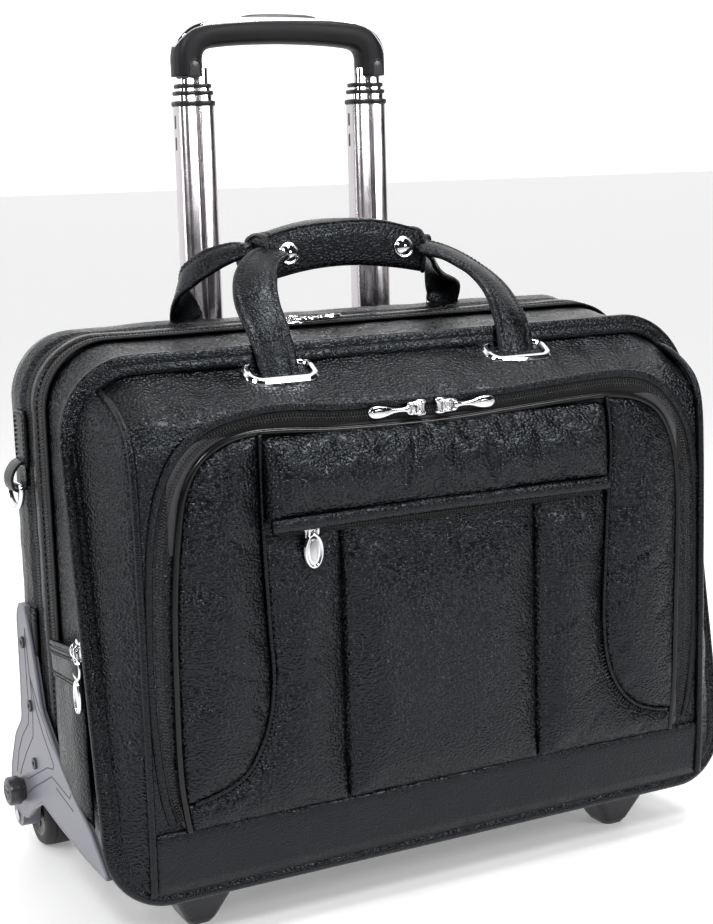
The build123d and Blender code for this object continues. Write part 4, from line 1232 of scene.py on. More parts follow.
# Shoulder strap rings on their leather tabs.
for side, tag in ((-1, "left"), (1, "right")):
    ring_low, ring_high = span(f"strap_ring_{tag}")
    centre = np.array([side * 209.5, (ring_low[1] + ring_high[1]) / 2, 250.0])
    radius = (ring_high[1] - ring_low[1]) / 2 - 1.8
    bow = [centre + np.array([0, radius * math.cos(a), -radius * math.sin(a)])
           for a in np.linspace(0, math.pi, 26)]
    path = even(np.vstack([bow, bow[:1]]), 1.6, True)
    new_piece(f"strap_ring_{tag}_metal", *sweep(path, round_profile(1.8, 12), (1, 0, 0), closed=True),
              CHROME, f"strap_ring_{tag[0]}",
              replaces=[f"strap_ring_{tag}"])
    outer = np.array([(side * 204.0, 263.5), (side * 208.0, 262.5), (side * 212.6, 256),
                      (side * 213.0, 250.5),
                      (side * 211.8, 247.4), (side * 209.5, 246.4), (side * 206.6, 246.8),
                      (side * 204.2, 248.6)])
    band_line = spline(outer, 1.0)
    path = np.column_stack([band_line[:, 0], np.full(len(band_line), centre[1]), band_line[:, 1]])
    parts = [sweep(path, box_profile(15.5, 1.7, 0.7, 3), np.column_stack(
        [np.full(len(path), side * 1.0), np.zeros(len(path)), (path[:, 2] < 250) * -0.6]))]
    patch = rounded_rectangle(20, 34, 4)
    parts.append(plate(patch, 2.6, 0.8, (side * 202.6, centre[1], 276.5), (0, 1, 0), (0, 0, 1),
                       (side, 0, 0)))
    new_piece(f"ring_tab_{tag}", *merge(parts), SMOOTH_LEATHER, "frame_body",
              replaces=["ring_tabs"], slot="chrome")
    stitch_line = rounded_rectangle(16, 30, 2.5)
    line = np.column_stack([np.full(len(stitch_line), side * 205.3), centre[1] + stitch_line[:, 0],
                            276.5 + stitch_line[:, 1]])
    new_piece(f"ring_tab_stitches_{tag}",
              *stitch_row(line, (side, 0, 0), closed=True, pitch=2.8, length=2.0, radius=0.32), THREAD,
              "frame_body")


# ---- carry handles ----------------------------------------------------------------------------
def ribbon(name, points, normals, widths, body, node, thick=3.8, step=2.2, stitch=True):
    """Double-stitched strap through centre points, with its own facing and width at each."""
    line = np.array([(x, at(d), z) for x, d, z in points])
    path = spline(line, step)
    lengths = np.r_[0, np.cumsum(np.linalg.norm(np.diff(line, axis=0), axis=1))]
    along = np.linspace(0, lengths[-1], len(path))
    facing = np.column_stack([np.interp(along, lengths, np.array(normals, float)[:, k]) for k in range(3)])
    width = np.interp(along, lengths, widths)
    _, n, s = cross_frames(path, facing)
    profile = np.array([(-0.5, 0.0), (-0.495, 0.26), (-0.46, 0.46), (-0.40, 0.52), (-0.33, 0.40),
                        (-0.27, 0.50), (-0.12, 0.62),
                 (0.12, 0.62), (0.27, 0.50), (0.33, 0.40), (0.40, 0.52), (0.46, 0.46), (0.495, 0.26),
                        (0.5, 0.0),
                 (0.495, -0.26), (0.46, -0.45), (0.30, -0.5), (0, -0.5), (-0.30, -0.5), (-0.46, -0.45),
                        (-0.495, -0.26)])
    wobble = smooth_noise(path, 17, len(name))
    rows = []
    for i, point in enumerate(path):
        cup = 0.9 * (np.abs(profile[:, 0]) * 2) ** 2 * (0.6 + 0.4 * wobble[i])
        rows.append(point + s[i] * profile[:, :1] * width[i]
                    + n[i] * (profile[:, 1:] * thick - cup[:, None]))
    piece = new_piece(name, *lofted(rows), SMOOTH_LEATHER, body, replaces=[node])
    subdivide(piece, 1)
    if stitch:
        rows = []
        for side in (-1, 1):
            for offset in (0.43, 0.33):
                cup = 0.9 * (offset * 2) ** 2
                line = path + s * (side * offset * width)[:, None] + n * (0.46 * thick - cup)
                rows.append(stitch_row(line, n, pitch=2.9, length=2.1, radius=0.30))
        new_piece(f"{name}_stitches", *merge(rows), THREAD, body)
    return piece


ribbon("front_strap_left",
       [(-79.5, 39, 308), (-80, 43.5, 322), (-81.5, 51, 338), (-81, 66, 354), (-75, 80, 367), (-63, 94, 376),
        (-48, 103, 380)],
       [(0, -1, 0.25), (0, -1, 0.25), (-0.05, -1, 0.35), (-0.2, -0.85, 0.55), (-0.35, -0.75, 0.65),
        (-0.25, -0.65, 0.8), (0, -0.5, 1)],
       [24, 25, 26, 27, 26, 21, 17], "front_handle", "front_straps")
ribbon("front_strap_right",
       [(79.5, 39, 308), (80.5, 43.5, 322), (82, 51, 336), (82, 66, 351), (75, 80, 364), (62, 94, 374),
        (48, 103, 379)],
       [(0, -1, 0.25), (0, -1, 0.25), (0.15, -1, 0.4), (0.35, -0.85, 0.6), (0.45, -0.7, 0.75),
        (0.3, -0.6, 0.85), (0, -0.5, 1)],
       [24, 25, 26, 26, 24, 20, 17], "front_handle", "front_straps")
ribbon("rear_strap_left",
       [(-90, 151, 336), (-94, 149, 345), (-98, 144, 356), (-94, 138, 366), (-84, 131, 374), (-70, 124, 380),
        (-56, 121, 381)],
       [(0, 1, 0.2), (-0.3, 1, 0.2), (-0.9, 0.4, 0.4), (-0.8, -0.4, 0.6), (-0.5, -0.7, 0.7),
        (-0.2, -0.6, 0.9),
        (0, -0.3, 1)],
       [22, 22, 21, 20, 19, 17, 15], "frame_body", "rear_handle")
ribbon("rear_strap_right",
       [(90, 151, 336), (92, 149, 345), (88, 144, 354), (80, 138, 362), (72, 131, 370), (62, 124, 376),
        (52, 121, 379)],
       [(0, 1, 0.2), (0.3, 1, 0.2), (0.8, 0.5, 0.3), (0.6, -0.3, 0.6), (0.3, -0.7, 0.7), (0.1, -0.6, 0.9),
        (0, -0.3, 1)],
       [22, 23, 24, 22, 20, 18, 16], "frame_body", "rear_handle")

# Rear handle's stuffed bar, hidden inside the wrap.
WRAP_FRONT = span("handle_wrap")[0][1]
bar_line = np.array([(x, WRAP_FRONT + 22.5, 379.5 - (x / 66) ** 2 * 2.5) for x in np.linspace(-66, 66, 50)])
new_piece("rear_bar", *sweep(bar_line, box_profile(15, 11, 4.5, 5), (0, -1, 0)), SMOOTH_LEATHER,
          "frame_body")


# Section of the arched, padded pad folded over both handles: front face, top and the flap behind.
WRAP_SECTION = np.array([
    (7.0, 366.4), (1.6, 366.0), (-0.4, 368.0), (-1.1, 373), (-1.6, 379), (-1.4, 385), (-0.6, 389.5),
    (2.0, 393.2),
    (6.5, 395.0), (13, 395.6), (20, 395.2), (27, 393.2), (30.5, 390.6), (30.0, 388.6), (26, 389.6),
    (20, 391.2),
    (13, 391.4), (8.6, 390.6), (6.2, 388.0), (5.4, 384), (5.2, 379), (5.6, 372), (6.6, 368.4)])
WRAP_HALF, WRAP_SHIFT = 54.5, -3.0
rows = []
for u in np.linspace(-1, 1, 64):
    arch = 8.0 * (1 - u ** 2) - 5.6
    swell = 1.0 + 0.10 * (1 - u ** 4)
    x = u * WRAP_HALF + WRAP_SHIFT
    depth = WRAP_FRONT + WRAP_SECTION[:, 0] * swell + 1.2 * u ** 2
    z = 379.5 + (WRAP_SECTION[:, 1] - 379.5) * (0.93 + 0.07 * (1 - u ** 4)) + arch
    rows.append(np.column_stack([np.full(len(WRAP_SECTION), x), depth, z]))
rows = np.array(rows)
soft = smooth_noise(rows.reshape(-1, 3), 28, 90).reshape(rows.shape[:2])
rows[:, :, 1] += 0.7 * soft
rows[:, :, 2] += 0.5 * soft
count = rows.shape[1]
wrap = new_piece("wrap_pad", *lofted(rows), LEATHER, "front_handle", replaces=["handle_wrap"])
subdivide(wrap, 1)


def on_wrap(u, row, lift=0.0):
    """Place on the wrap's skin, from its grid."""
    i = (u + 1) / 2 * (len(rows) - 1)
    low = int(min(len(rows) - 2, max(0, math.floor(i))))
    a = rows[low] * (1 - (i - low)) + rows[low + 1] * (i - low)
    low_row = int(math.floor(row))
    between = row - low_row
    skin = a[low_row] * (1 - between) + a[(low_row + 1) % count] * between
    return skin + np.array([0, -lift, 0])


crease = np.array([on_wrap(u, 7.35, 0.35) for u in np.linspace(-0.93, 0.93, 60)])
new_piece("wrap_fold", *sweep(crease, round_profile(0.75, 8), (0, -1, 0.3)), SMOOTH_LEATHER, "front_handle")
edge = []
for u_line, row_line in (((-0.965, 0.965), (2.4, 2.4)), ((-0.965, 0.965), (6.6, 6.6))):
    line = np.array([on_wrap(u, row_line[0], 0.3) for u in np.linspace(*u_line, 50)])
    edge.append(stitch_row(line, (0, -1, 0.1), pitch=2.9, length=2.1, radius=0.32))
for u in (-0.955, 0.955, -0.90, 0.90):
    line = np.array([on_wrap(u, r, 0.3) for r in np.linspace(2.2, 10.5, 16)])
    edge.append(stitch_row(line, (0, -1, 0.5), pitch=2.9, length=2.1, radius=0.32))
new_piece("wrap_stitches", *merge(edge), THREAD, "front_handle")
cords = []
for u in (-0.985, 0.985):
    line = np.array([on_wrap(u, r, 0.0) for r in np.linspace(1.2, 12.4, 26)])
    cords.append(sweep(spline(line, 1.6), round_profile(1.5, 8), (0, -1, 0.4)))
new_piece("wrap_end_binding", *merge(cords), SMOOTH_LEATHER, "front_handle")

parts = []
for side in (-1, 1):
    centre = on_wrap((side * 39.5 - 1.0) / WRAP_HALF, 4.2, 0.2)
    parts.append(dome(6.8, 2.4, centre, np.array([1.0, 0, 0]), np.array([0, 0.12, 0.99]),
                      np.array([0, -0.99, 0.12])))
new_piece("snaps", *merge(parts), CHROME, "front_handle", replaces=["handle_snaps"])


# ---- trolley --------------------------------------------------------------------------------
def dress(node, material):
    """Better material for a CAD node that keeps its own shape."""
    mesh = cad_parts[node].data
    if not mesh.materials:
        mesh.materials.append(material)
    for index in range(len(mesh.materials)):
        mesh.materials[index] = material


TUBE_X = 62.0
TUBE_Y = (span("trolley_stage1_tubes")[0][1] + span("trolley_stage1_tubes")[1][1]) / 2


def tube_outline(half_w, half_d, groove=1.5):
    """Two rounded lobes side by side with a groove between them, front and back."""
    r = min(half_d * 0.72, half_w * 0.5)
    points = []
    for sx, sy, start in ((1, 1, 0), (-1, 1, 90), (-1, -1, 180), (1, -1, 270)):
        corner = []
        for k in range(8):
            a = math.radians(start + 90 * k / 7)
            corner.append((sx * (half_w - r) + r * math.cos(a), sy * (half_d - r) + r * math.sin(a)))
        points += corner
        if start in (0, 180):
            d = sy * half_d
            slide = np.array([(1.9, 0), (1.0, 0.12), (0.5, 0.55), (0.0, 1.0), (-0.5, 0.55), (-1.0, 0.12),
                              (-1.9, 0)])
            for across_x, deep in slide:
                points.append((sx * across_x, d - sy * groove * deep))
    return np.array(points)


def upright(outline_points, low, high, x, y, top_round=0.5):
    """Straight length of a closed section, with softened ends."""
    rows = []
    middle = outline_points.mean(axis=0)
    for z, shrink in ((low, top_round), (low + top_round, 0), (high - top_round, 0),
                      (high - top_round * 0.3, top_round * 0.35), (high, top_round)):
        reach = outline_points - middle
        size = np.linalg.norm(reach, axis=1)[:, None]
        flat = middle + reach * (1 - shrink / size)
        rows.append(np.column_stack([x + flat[:, 0], y + flat[:, 1], np.full(len(flat), z)]))
    return lofted(rows)


STAGES = (("stage1", "trolley_stage1_tubes", 12.8, 8.4, 181.0, 469.6, TUBE_METAL),
          ("stage2", "trolley_stage2_tubes", 11.9, 7.6, 187.0, 476.4, BRIGHT_METAL),
          ("stage3", "trolley_stage3_tubes", 10.9, 6.7, 193.0, 480.8, BRIGHT_METAL),
          ("grip", "trolley_stage4_tubes", 9.8, 5.8, 199.0, 493.0, BRIGHT_METAL))
for body, node, half_w, half_d, low, high, metal in STAGES:
    parts = [upright(tube_outline(half_w, half_d), low, high, x, TUBE_Y) for x in (-TUBE_X, TUBE_X)]
    piece = new_piece(f"{node}_metal", *merge(parts), metal, body, replaces=[node], slot="tube_metal")
    shade_by_angle(piece, 40)
    if body != "grip":
        thick = 2.9 if body == "stage1" else 2.3
        parts = [upright(tube_outline(half_w + 0.8, half_d + 0.8, 1.2), high - 0.4, high + thick, x, TUBE_Y,
                         0.7)
                 for x in (-TUBE_X, TUBE_X)]
        verts, faces = merge(parts)
        collar = ["trolley_stage1_collars"] if body == "stage1" else []
        new_piece(f"{node}_collars", verts, faces, BLACK_PLASTIC, body, replaces=collar)

parts = []
for x in (-TUBE_X, TUBE_X):
    for z in (459.5, 446.0):
        slot_line = rounded_rectangle(2.4, 8.5, 1.0)
        parts.append(plate(slot_line, 0.9, 0.2, (x - 12.0, TUBE_Y, z), (0, 1, 0), (0, 0, 1), (-1, 0, 0)))
new_piece("stage1_side_slots", *merge(parts), BLACK_PLASTIC, "stage1")

# Grip: one bar bent down into both legs, held as rounded sections along its centre line.
GRIP_X, GRIP_TOP = 65.5, 516.4
leg_bottom = span("trolley_grip")[0][2]
grip_line = [(-GRIP_X, leg_bottom), (-GRIP_X, 494), (-GRIP_X, 499.5), (-GRIP_X + 1.6, 505.5),
             (-GRIP_X + 6.0, 510.6),
             (-GRIP_X + 12, 513.2), (-GRIP_X + 20, 514.4), (-30, 515.6), (0, GRIP_TOP), (30, 515.6),
             (GRIP_X - 20, 514.4), (GRIP_X - 12, 513.2), (GRIP_X - 6.0, 510.6), (GRIP_X - 1.6, 505.5),
             (GRIP_X, 499.5), (GRIP_X, 494), (GRIP_X, leg_bottom)]
grip_path = spline(np.array([(x, TUBE_Y, z) for x, z in grip_line]), 1.2)
t_grip, n_grip, _ = cross_frames(grip_path, (0, -1, 0))
outer = np.cross(n_grip, t_grip)
if outer[len(outer) // 2][2] < 0:
    outer = -outer
straight = np.abs(t_grip[:, 2])
HALF_ACROSS = 8.4 + 1.2 * straight
HALF_DEEP = 8.7


def grip_skin(i, degrees, lift=0.0):
    """Place on the grip's surface: 0 faces front, 90 faces out from the bend."""
    a = math.radians(degrees)
    c, s = math.cos(a), math.sin(a)
    front = math.copysign(abs(c) ** 0.72, c) * (HALF_DEEP + lift)
    up = math.copysign(abs(s) ** 0.72, s) * (HALF_ACROSS[i] + lift)
    return grip_path[i] + n_grip[i] * front + outer[i] * up


angles = np.linspace(0, 360, 33)[:-1]
rows = [np.array([grip_skin(i, a) for a in angles]) for i in range(len(grip_path))]
new_piece("grip_bar", *lofted(rows), GRIP_PLASTIC, "grip", replaces=["trolley_grip"])

# Bright inlay: broad round the left shoulder, thinning along the front edge to a line.
share = np.linspace(0, 1, len(grip_path))
start = np.interp(share, [0.085, 0.12, 0.17, 0.24, 0.32, 0.50, 0.62, 0.70, 0.80, 0.86, 0.89, 0.93],
                  [80, 48, 34, 30, 30, 36, 42, 47, 47, 44, 40, 70])
stop = np.interp(share, [0.085, 0.12, 0.17, 0.24, 0.32, 0.50, 0.62, 0.70, 0.80, 0.86, 0.89, 0.93],
                 [96, 122, 128, 112, 96, 78, 66, 53, 53, 52, 98, 84])
rows = []
for i in range(len(grip_path)):
    if 0.085 <= share[i] <= 0.93:
        arc = np.linspace(start[i], stop[i], 9)
        top = [grip_skin(i, a, 0.75 if 0 < k < 8 else 0.2) for k, a in enumerate(arc)]
        below = [grip_skin(i, a, -0.8) for a in arc[::-1]]
        rows.append(np.array(top + below))
new_piece("grip_swoosh", *lofted(rows), CHROME, "grip", replaces=["grip_inlay"])

parts, borders = [], []
for x in (-GRIP_X, GRIP_X):
    arch = [(-4.0, leg_bottom + 0.4), (4.0, leg_bottom + 0.4), (4.0, leg_bottom + 6.5)]
    arch += [(4.0 * math.cos(a), leg_bottom + 6.8 + 3.6 * math.sin(a))
             for a in np.linspace(0.15, math.pi - 0.15, 10)]
    arch.append((-4.0, leg_bottom + 6.5))
    arch = np.array(arch) - np.array([0, leg_bottom])
    place_at = np.array([x + 2.0, TUBE_Y - HALF_DEEP + 0.15, leg_bottom])
    parts.append(plate(arch * 0.86 + np.array([0, 0.4]), 0.5, 0.12, place_at, (1, 0, 0), (0, 0, 1),
                       (0, -1, 0)))
    borders.append(loop_of(even(arch, 0.7, True), place_at, (1, 0, 0), (0, 0, 1), 0.5, (0, -1, 0)))
new_piece("grip_notch_faces", *merge(parts), DARK_PLASTIC, "grip")
new_piece("grip_notch_edges", *merge(borders), BLACK_PLASTIC, "grip")

button_low, button_high = span("grip_button")
rows = []
for h, r in ((button_low[2], 1.0), (button_high[2] - 3.0, 1.0), (button_high[2] - 1.4, 0.93),
             (button_high[2] - 0.4, 0.72), (button_high[2], 0.38)):
    oval = ellipse(button_high[0] - button_low[0], button_high[1] - button_low[1], 0, 0, 48) * r
    rows.append(np.column_stack([oval[:, 0], (button_low[1] + button_high[1]) / 2 + oval[:, 1],
                                 np.full(48, h)]))
new_piece("grip_button_cap", *lofted(rows), DARK_PLASTIC, "button", replaces=["grip_button"])
for node, material in (("trolley_base_tubes", TUBE_METAL), ("trolley_base_collars", BLACK_PLASTIC),
                       ("tube_brackets", BLACK_PLASTIC), ("back_board", BOARD)):
    dress(node, material)


# ---- side guards, wheels, knobs and feet --------------------------------------------------------
GUARD_LINES = (
    [(145.1, 160.0), (148.0, 144.4), (147.4, 124.4), (147.0, 110.9), (149.5, 98.8), (165.1, 86.3),
     (175.6, 72.8),
     (181.7, 58.2)],
    [(145.1, 160.0), (143.4, 145.6), (140.2, 126.2), (138.7, 112.0), (141.6, 92.5), (157.5, 78.2),
     (169.6, 65.2),
     (174.3, 58.5)],
    [(141.0, 131.1), (132.1, 112.7), (120.5, 100.3), (102.5, 86.2), (103.8, 83.1), (115.6, 80.6),
     (158.0, 60.7)],
    [(141.0, 131.1), (126.3, 115.4), (108.3, 100.5), (87.0, 88.2), (71.5, 78.5), (74.9, 74.2), (107.6, 77.5),
     (146.8, 58.4), (159.4, 50.9)],
    [(100.0, 72.7), (69.5, 68.4)])
GUARD_EDGE = [(15, 46), (48, 46), (97, 50), (131, 54), (150, 44), (166, 33), (179, 31), (188, 33), (196, 47),
              (192, 61), (179, 84), (163, 98), (161, 126), (160, 165), (155, 173), (144, 173), (133, 148),
              (122, 114), (92, 91), (64, 75), (41, 65)]
POCKET_FACE = span("side_pockets")[1][0]
for side, tag in ((-1, "left"), (1, "right")):
    face_x = span(f"side_guard_{tag}")[1 if side > 0 else 0][0]
    out = np.array([side * 1.0, 0, 0])
    # Grooves: thin lines whose dark colour is painted shade, standing in for the shadow in engraved lines.
    grooves = []
    for line in GUARD_LINES:
        path = even(np.array([(face_x + side * 0.02, at(d), z) for d, z in line]), 1.4)
        grooves.append(sweep(path, round_profile(0.42, 6, 0.45), out))
    new_piece(f"guard_grooves_{tag}", *merge(grooves), GUARD_DARK, "frame_body")
    edge_line = even(np.array([(face_x - side * 0.9, at(d), z) for d, z in GUARD_EDGE]), 2.0, True)
    smooth_edge = edge_line.copy()
    for _ in range(3):
        smooth_edge = (np.roll(smooth_edge, 1, axis=0) + 2 * smooth_edge
                       + np.roll(smooth_edge, -1, axis=0)) / 4
    new_piece(f"guard_rim_{tag}", *sweep(smooth_edge, round_profile(1.25, 10), out, closed=True), GUARD,
              "frame_body")
    dress(f"side_guard_{tag}", GUARD)

    knob_low, knob_high = span(f"release_knob_{tag}")
    radius = (knob_high[2] - knob_low[2]) / 2 + 0.4
    middle = np.array([0, (knob_low[1] + knob_high[1]) / 2, (knob_low[2] + knob_high[2]) / 2])
    inner_x = (POCKET_FACE + 4.3) * side
    octagon = []
    for k in range(8):
        for nudge in (-0.09, 0.09):
            a = math.pi / 8 + k * math.pi / 4 + nudge
            octagon.append((radius * math.cos(a), radius * math.sin(a)))
    octagon = np.array(octagon)
    parts = [plate(octagon * 0.82, 3.2, 0.3, middle + np.array([inner_x, 0, 0]), (0, 1, 0), (0, 0, 1), out)]
    parts.append(plate(octagon, 8.8, 1.7, middle + np.array([inner_x + side * 1.8, 0, 0]), (0, 1, 0),
                       (0, 0, 1), out))
    parts.append(loop_of(ellipse(9.6, 9.6, 0, 0, 28), middle + np.array([inner_x + side * 10.5, 0, 0]),
                         (0, 1, 0),
                         (0, 0, 1), 0.5, out))
    parts.append(plate(rounded_rectangle(5.6, 1.4, 0.5), 0.7, 0.2,
                       middle + np.array([inner_x + side * 10.4, 0, 0]),
                       (0, 1, 0), (0, 0, 1), out))
    piece = new_piece(f"knob_{tag}", *merge(parts), DARK_PLASTIC, f"knob_{tag[0]}",
                      replaces=[f"release_knob_{tag}"])
    shade_by_angle(piece, 32)

    # Wheel: grooved tyre over a hub with five windows and a domed cap.
    tyre_low, tyre_high = span(f"wheel_tyre_{tag}")
    centre_x, half = side * 180.0, 11.6
    wheel_y, wheel_z = (tyre_low[1] + tyre_high[1]) / 2, (tyre_low[2] + tyre_high[2]) / 2
    tread = [(-half, 15.6), (-half - 0.2, 18.0), (-half + 0.3, 20.2), (-half + 2.4, 21.9), (-6.0, 22.35),
             (-5.4, 21.6),
             (-4.8, 21.6), (-4.2, 22.4), (4.2, 22.4), (4.8, 21.6), (5.4, 21.6), (6.0, 22.35),
             (half - 2.4, 21.9),
             (half - 0.3, 20.2), (half + 0.2, 18.0), (half, 15.6)]
    hub = [(-half + 0.4, 0.6), (-half - 0.1, 3.2), (-half + 0.4, 4.6), (-half + 1.8, 5.4),
           (-half + 2.3, 7.0),
           (-half + 2.2, 12.0), (-half + 1.2, 13.6), (-half + 0.2, 14.4), (-half + 0.2, 15.7),
           (half - 0.2, 15.7),
           (half - 0.2, 14.4), (half - 1.2, 13.6), (half - 2.2, 12.0), (half - 2.3, 7.0), (half - 1.8, 5.4),
           (half - 0.4, 4.6), (half + 0.1, 3.2), (half - 0.4, 0.6)]
    for name, profile, material, node in (("tyre", tread, TYRE, f"wheel_tyre_{tag}"),
                                          ("hub", hub, DARK_PLASTIC, f"wheel_hub_{tag}")):
        rows = []
        for k in range(56):
            a = 2 * math.pi * k / 56
            rows.append(np.array([(centre_x + u, wheel_y + r * math.cos(a), wheel_z + r * math.sin(a))
                                  for u, r in profile]))
        verts = np.vstack(rows)
        faces = grid_faces(56, len(profile), wrap_rows=True, wrap_columns=name == "tyre")
        if name == "hub":
            faces += [tuple(k * len(profile) for k in range(56))[::-1],
                      tuple(k * len(profile) + len(profile) - 1 for k in range(56))]
        piece = new_piece(f"wheel_{name}_{tag}", verts, faces, material, f"wheel_{tag[0]}", replaces=[node],
                          slot="rubber_black" if name == "tyre" else "black_plastic")
        shade_by_angle(piece, 40)
    spokes = []
    for k in range(5):
        a = 2 * math.pi * k / 5
        window = ellipse(5.2, 4.2, 0, 0, 16)
        for way in (-1, 1):
            spokes.append(plate(window, 0.9, 0.2, (centre_x + way * (half - 2.6),
                                                   wheel_y + 9.6 * math.cos(a),
                                                   wheel_z + 9.6 * math.sin(a)),
                                (0, math.cos(a), math.sin(a)), (0, -math.sin(a), math.cos(a)), (way, 0, 0)))
    new_piece(f"wheel_bosses_{tag}", *merge(spokes), BLACK_PLASTIC, f"wheel_{tag[0]}")

    dress(f"front_foot_{tag}", FOOT_PLASTIC)
dress("guard_screws", GUARD_DARK)
dress("wheel_axles", STEEL)
dress("base_tray", DARK_PLASTIC)


# ---- side pockets -------------------------------------------------------------------------------
def side_patch(name, side, corners, bulge, thick, lift, material, body, replaces=(), across_count=26,
               rise_count=40):
    """Four-cornered panel on the bag's side, swelling in the middle; corners are depth and height."""
    a, b, c, d = (np.array(p, float) for p in corners)
    top = []
    for v in np.linspace(0, 1, rise_count):
        row = []
        for u in np.linspace(0, 1, across_count):
            depth, z = (a * (1 - u) + b * u) * (1 - v) + (d * (1 - u) + c * u) * v
            belly = bulge * (1 - (2 * u - 1) ** 4) * (1 - (2 * v - 1) ** 6)
            row.append((side * (lift + belly), at(depth), z))
        top.append(row)
    top = np.array(top)
    top[:, :, 0] += side * 0.5 * smooth_noise(top.reshape(-1, 3), 26, 61).reshape(top.shape[:2])
    under = top - np.array([side * thick, 0, 0])
    verts, faces = slab(top, under)
    return new_piece(name, verts, faces, material, body, replaces=replaces, slot="black_leather"), top


for side, tag in ((-1, "left"), (1, "right")):
    pad, _ = side_patch(f"side_pocket_{tag}", side, [(46, 58), (98, 62), (99, 150), (50, 152)], 3.4, 1.6,
                        204.2,
                           LEATHER, "front_section", ["side_pockets"])
    _, hem_skin = side_patch(f"side_pocket_hem_{tag}", side, [(48, 146), (99, 143), (99, 163), (48, 169)],
                             2.4, 2.2,
                               205.6, SMOOTH_LEATHER, "front_section")
    seams, ridges = [], []
    for row in (3, 7, 30):
        line = hem_skin[row] + np.array([side * 0.1, 0, 0])
        seams.append(stitch_row(line, (side, 0, 0), pitch=2.9, length=2.1, radius=0.32))
    for row, size in ((38, 1.5), (33, 0.9), (27, 0.7), (0, 0.9)):
        ridges.append(sweep(spline(hem_skin[row][::3], 1.6), round_profile(size, 8), (side, 0, 0)))
    new_piece(f"side_pocket_stitches_{tag}", *merge(seams), THREAD, "front_section")
    new_piece(f"side_pocket_ridges_{tag}", *merge(ridges), SMOOTH_LEATHER, "front_section")
    _, strip_skin = side_patch(f"rear_side_strip_{tag}", side,
                               [(130.5, 146), (138, 146), (141, 172), (130.5, 174)],
                                   0.9, 1.6, 205.0, SMOOTH_LEATHER, "frame_body", across_count=8,
                               rise_count=26)
    lines = [sweep(spline(strip_skin[row], 1.4), round_profile(0.7, 6),
                   (side, 0, 0)) for row in (1, 19, 22, 25)]
    new_piece(f"rear_side_ridges_{tag}", *merge(lines), SMOOTH_LEATHER, "frame_body")


# ---- inside -----------------------------------------------------------------------------------
def box_pad(low, high, puff, quilt=0, around=3.0, step=8.0):
    """Soft board with rounded edges; its broad faces swell, and quilt lines pull them in."""
    low, high = np.array(low, float), np.array(high, float)
    size = high - low
    thin = int(np.argmin(size))
    u_axis, v_axis = [k for k in range(3) if k != thin]
    nu = max(6, int(size[u_axis] / step))
    nv = max(6, int(size[v_axis] / step))
    us, vs = np.linspace(0, 1, nu + 1), np.linspace(0, 1, nv + 1)
    sheets = []
    for face in (1, -1):
        grid = np.zeros((nv + 1, nu + 1, 3))
        for j, v in enumerate(vs):
            for i, u in enumerate(us):
                border = min(u * size[u_axis], (1 - u) * size[u_axis], v * size[v_axis],
                             (1 - v) * size[v_axis])
                swell = puff * min(1, border / around) ** 0.5
                if quilt:
                    swell *= 0.45 + 0.55 * min(1, 2.6 * abs(math.sin(math.pi * u * quilt)))
                point = np.zeros(3)
                point[u_axis] = low[u_axis] + u * size[u_axis]
                point[v_axis] = low[v_axis] + v * size[v_axis]
                edge = (size[thin] / 2 - puff) * (0.4 + 0.6 * min(1, border / 2.0))
                point[thin] = (low[thin] + high[thin]) / 2 + face * (edge + swell)
                grid[j, i] = point
        sheets.append(grid)
    return slab(sheets[0], sheets[1])


sleeve_low, sleeve_high = span("laptop_sleeve")
x0, x1 = sleeve_low[0], sleeve_high[0]
y0, y1 = sleeve_low[1], sleeve_high[1]
z0, z1 = sleeve_low[2], sleeve_high[2]
front_pad = box_pad((x0, y0, z0), (x1, y0 + 5, z1), 0.8, 9, step=5)
back_pad = box_pad((x0, y1 - 4.7, z0), (x1, y1, z1), 0.6, 9, step=5)
sides = [box_pad((x0, y0 + 4, z0), (x0 + 5, y1 - 4, z1 - 6), 0.6),
         box_pad((x1 - 5, y0 + 4, z0), (x1, y1 - 4, z1 - 6), 0.6)]
floor_pad = box_pad((x0, y0 + 4, z0), (x1, y1 - 4, z0 + 5), 0.6)
for name, part in (("front", front_pad), ("back", back_pad), ("left", sides[0]), ("right", sides[1]),
                   ("bottom", floor_pad)):
    pad = new_piece(f"sleeve_{name}_pad", *part, LINING, "frame_body", replaces=["laptop_sleeve"])
trim, seams = [], []
for y in (y0 + 2.5, y1 - 2.4):
    line = np.array([(x0 + 1, y, z1 - 0.4), (x1 - 1, y, z1 - 0.4)])
    trim.append(sweep(even(line, 6), box_profile(5.0, 3.4, 1.4), (0, 0, 1)))
    for dz in (3.4, 6.0):
        seams.append(stitch_row(even(np.array([(x0 + 2, y - 2.7, z1 - dz), (x1 - 2, y - 2.7, z1 - dz)]), 4),
                                (0, -1, 0), pitch=3.2, length=2.3, radius=0.3))
new_piece("sleeve_binding", *merge(trim), BINDING, "frame_body")
new_piece("sleeve_stitches", *merge(seams), THREAD, "frame_body", slot="lining_fabric")

file_low, file_high = span("file_dividers")
boards, edging = [], []
for depth in (42, 62, 82):
    boards.append(plate(even(rounded_rectangle(file_high[0] - file_low[0], file_high[2] - file_low[2], 14,
                                               0, (file_low[2] + file_high[2]) / 2), 6, True),
                        1.5, 0.3, (0, at(depth), 0), (1, 0, 0), (0, 0, 1), (0, 1, 0)))
    rim_line = even(rounded_rectangle(file_high[0] - file_low[0] - 1, file_high[2] - file_low[2] - 1, 13.5,
                                      0,
                                      (file_low[2] + file_high[2]) / 2), 4, True)
    edging.append(loop_of(rim_line, (0, at(depth + 0.75), 0), (1, 0, 0), (0, 0, 1), 1.1, (0, -1, 0)))
new_piece("file_divider_boards", *merge(boards), LINING, "front_section", replaces=["file_dividers"])
new_piece("file_divider_binding", *merge(edging), BINDING, "front_section")

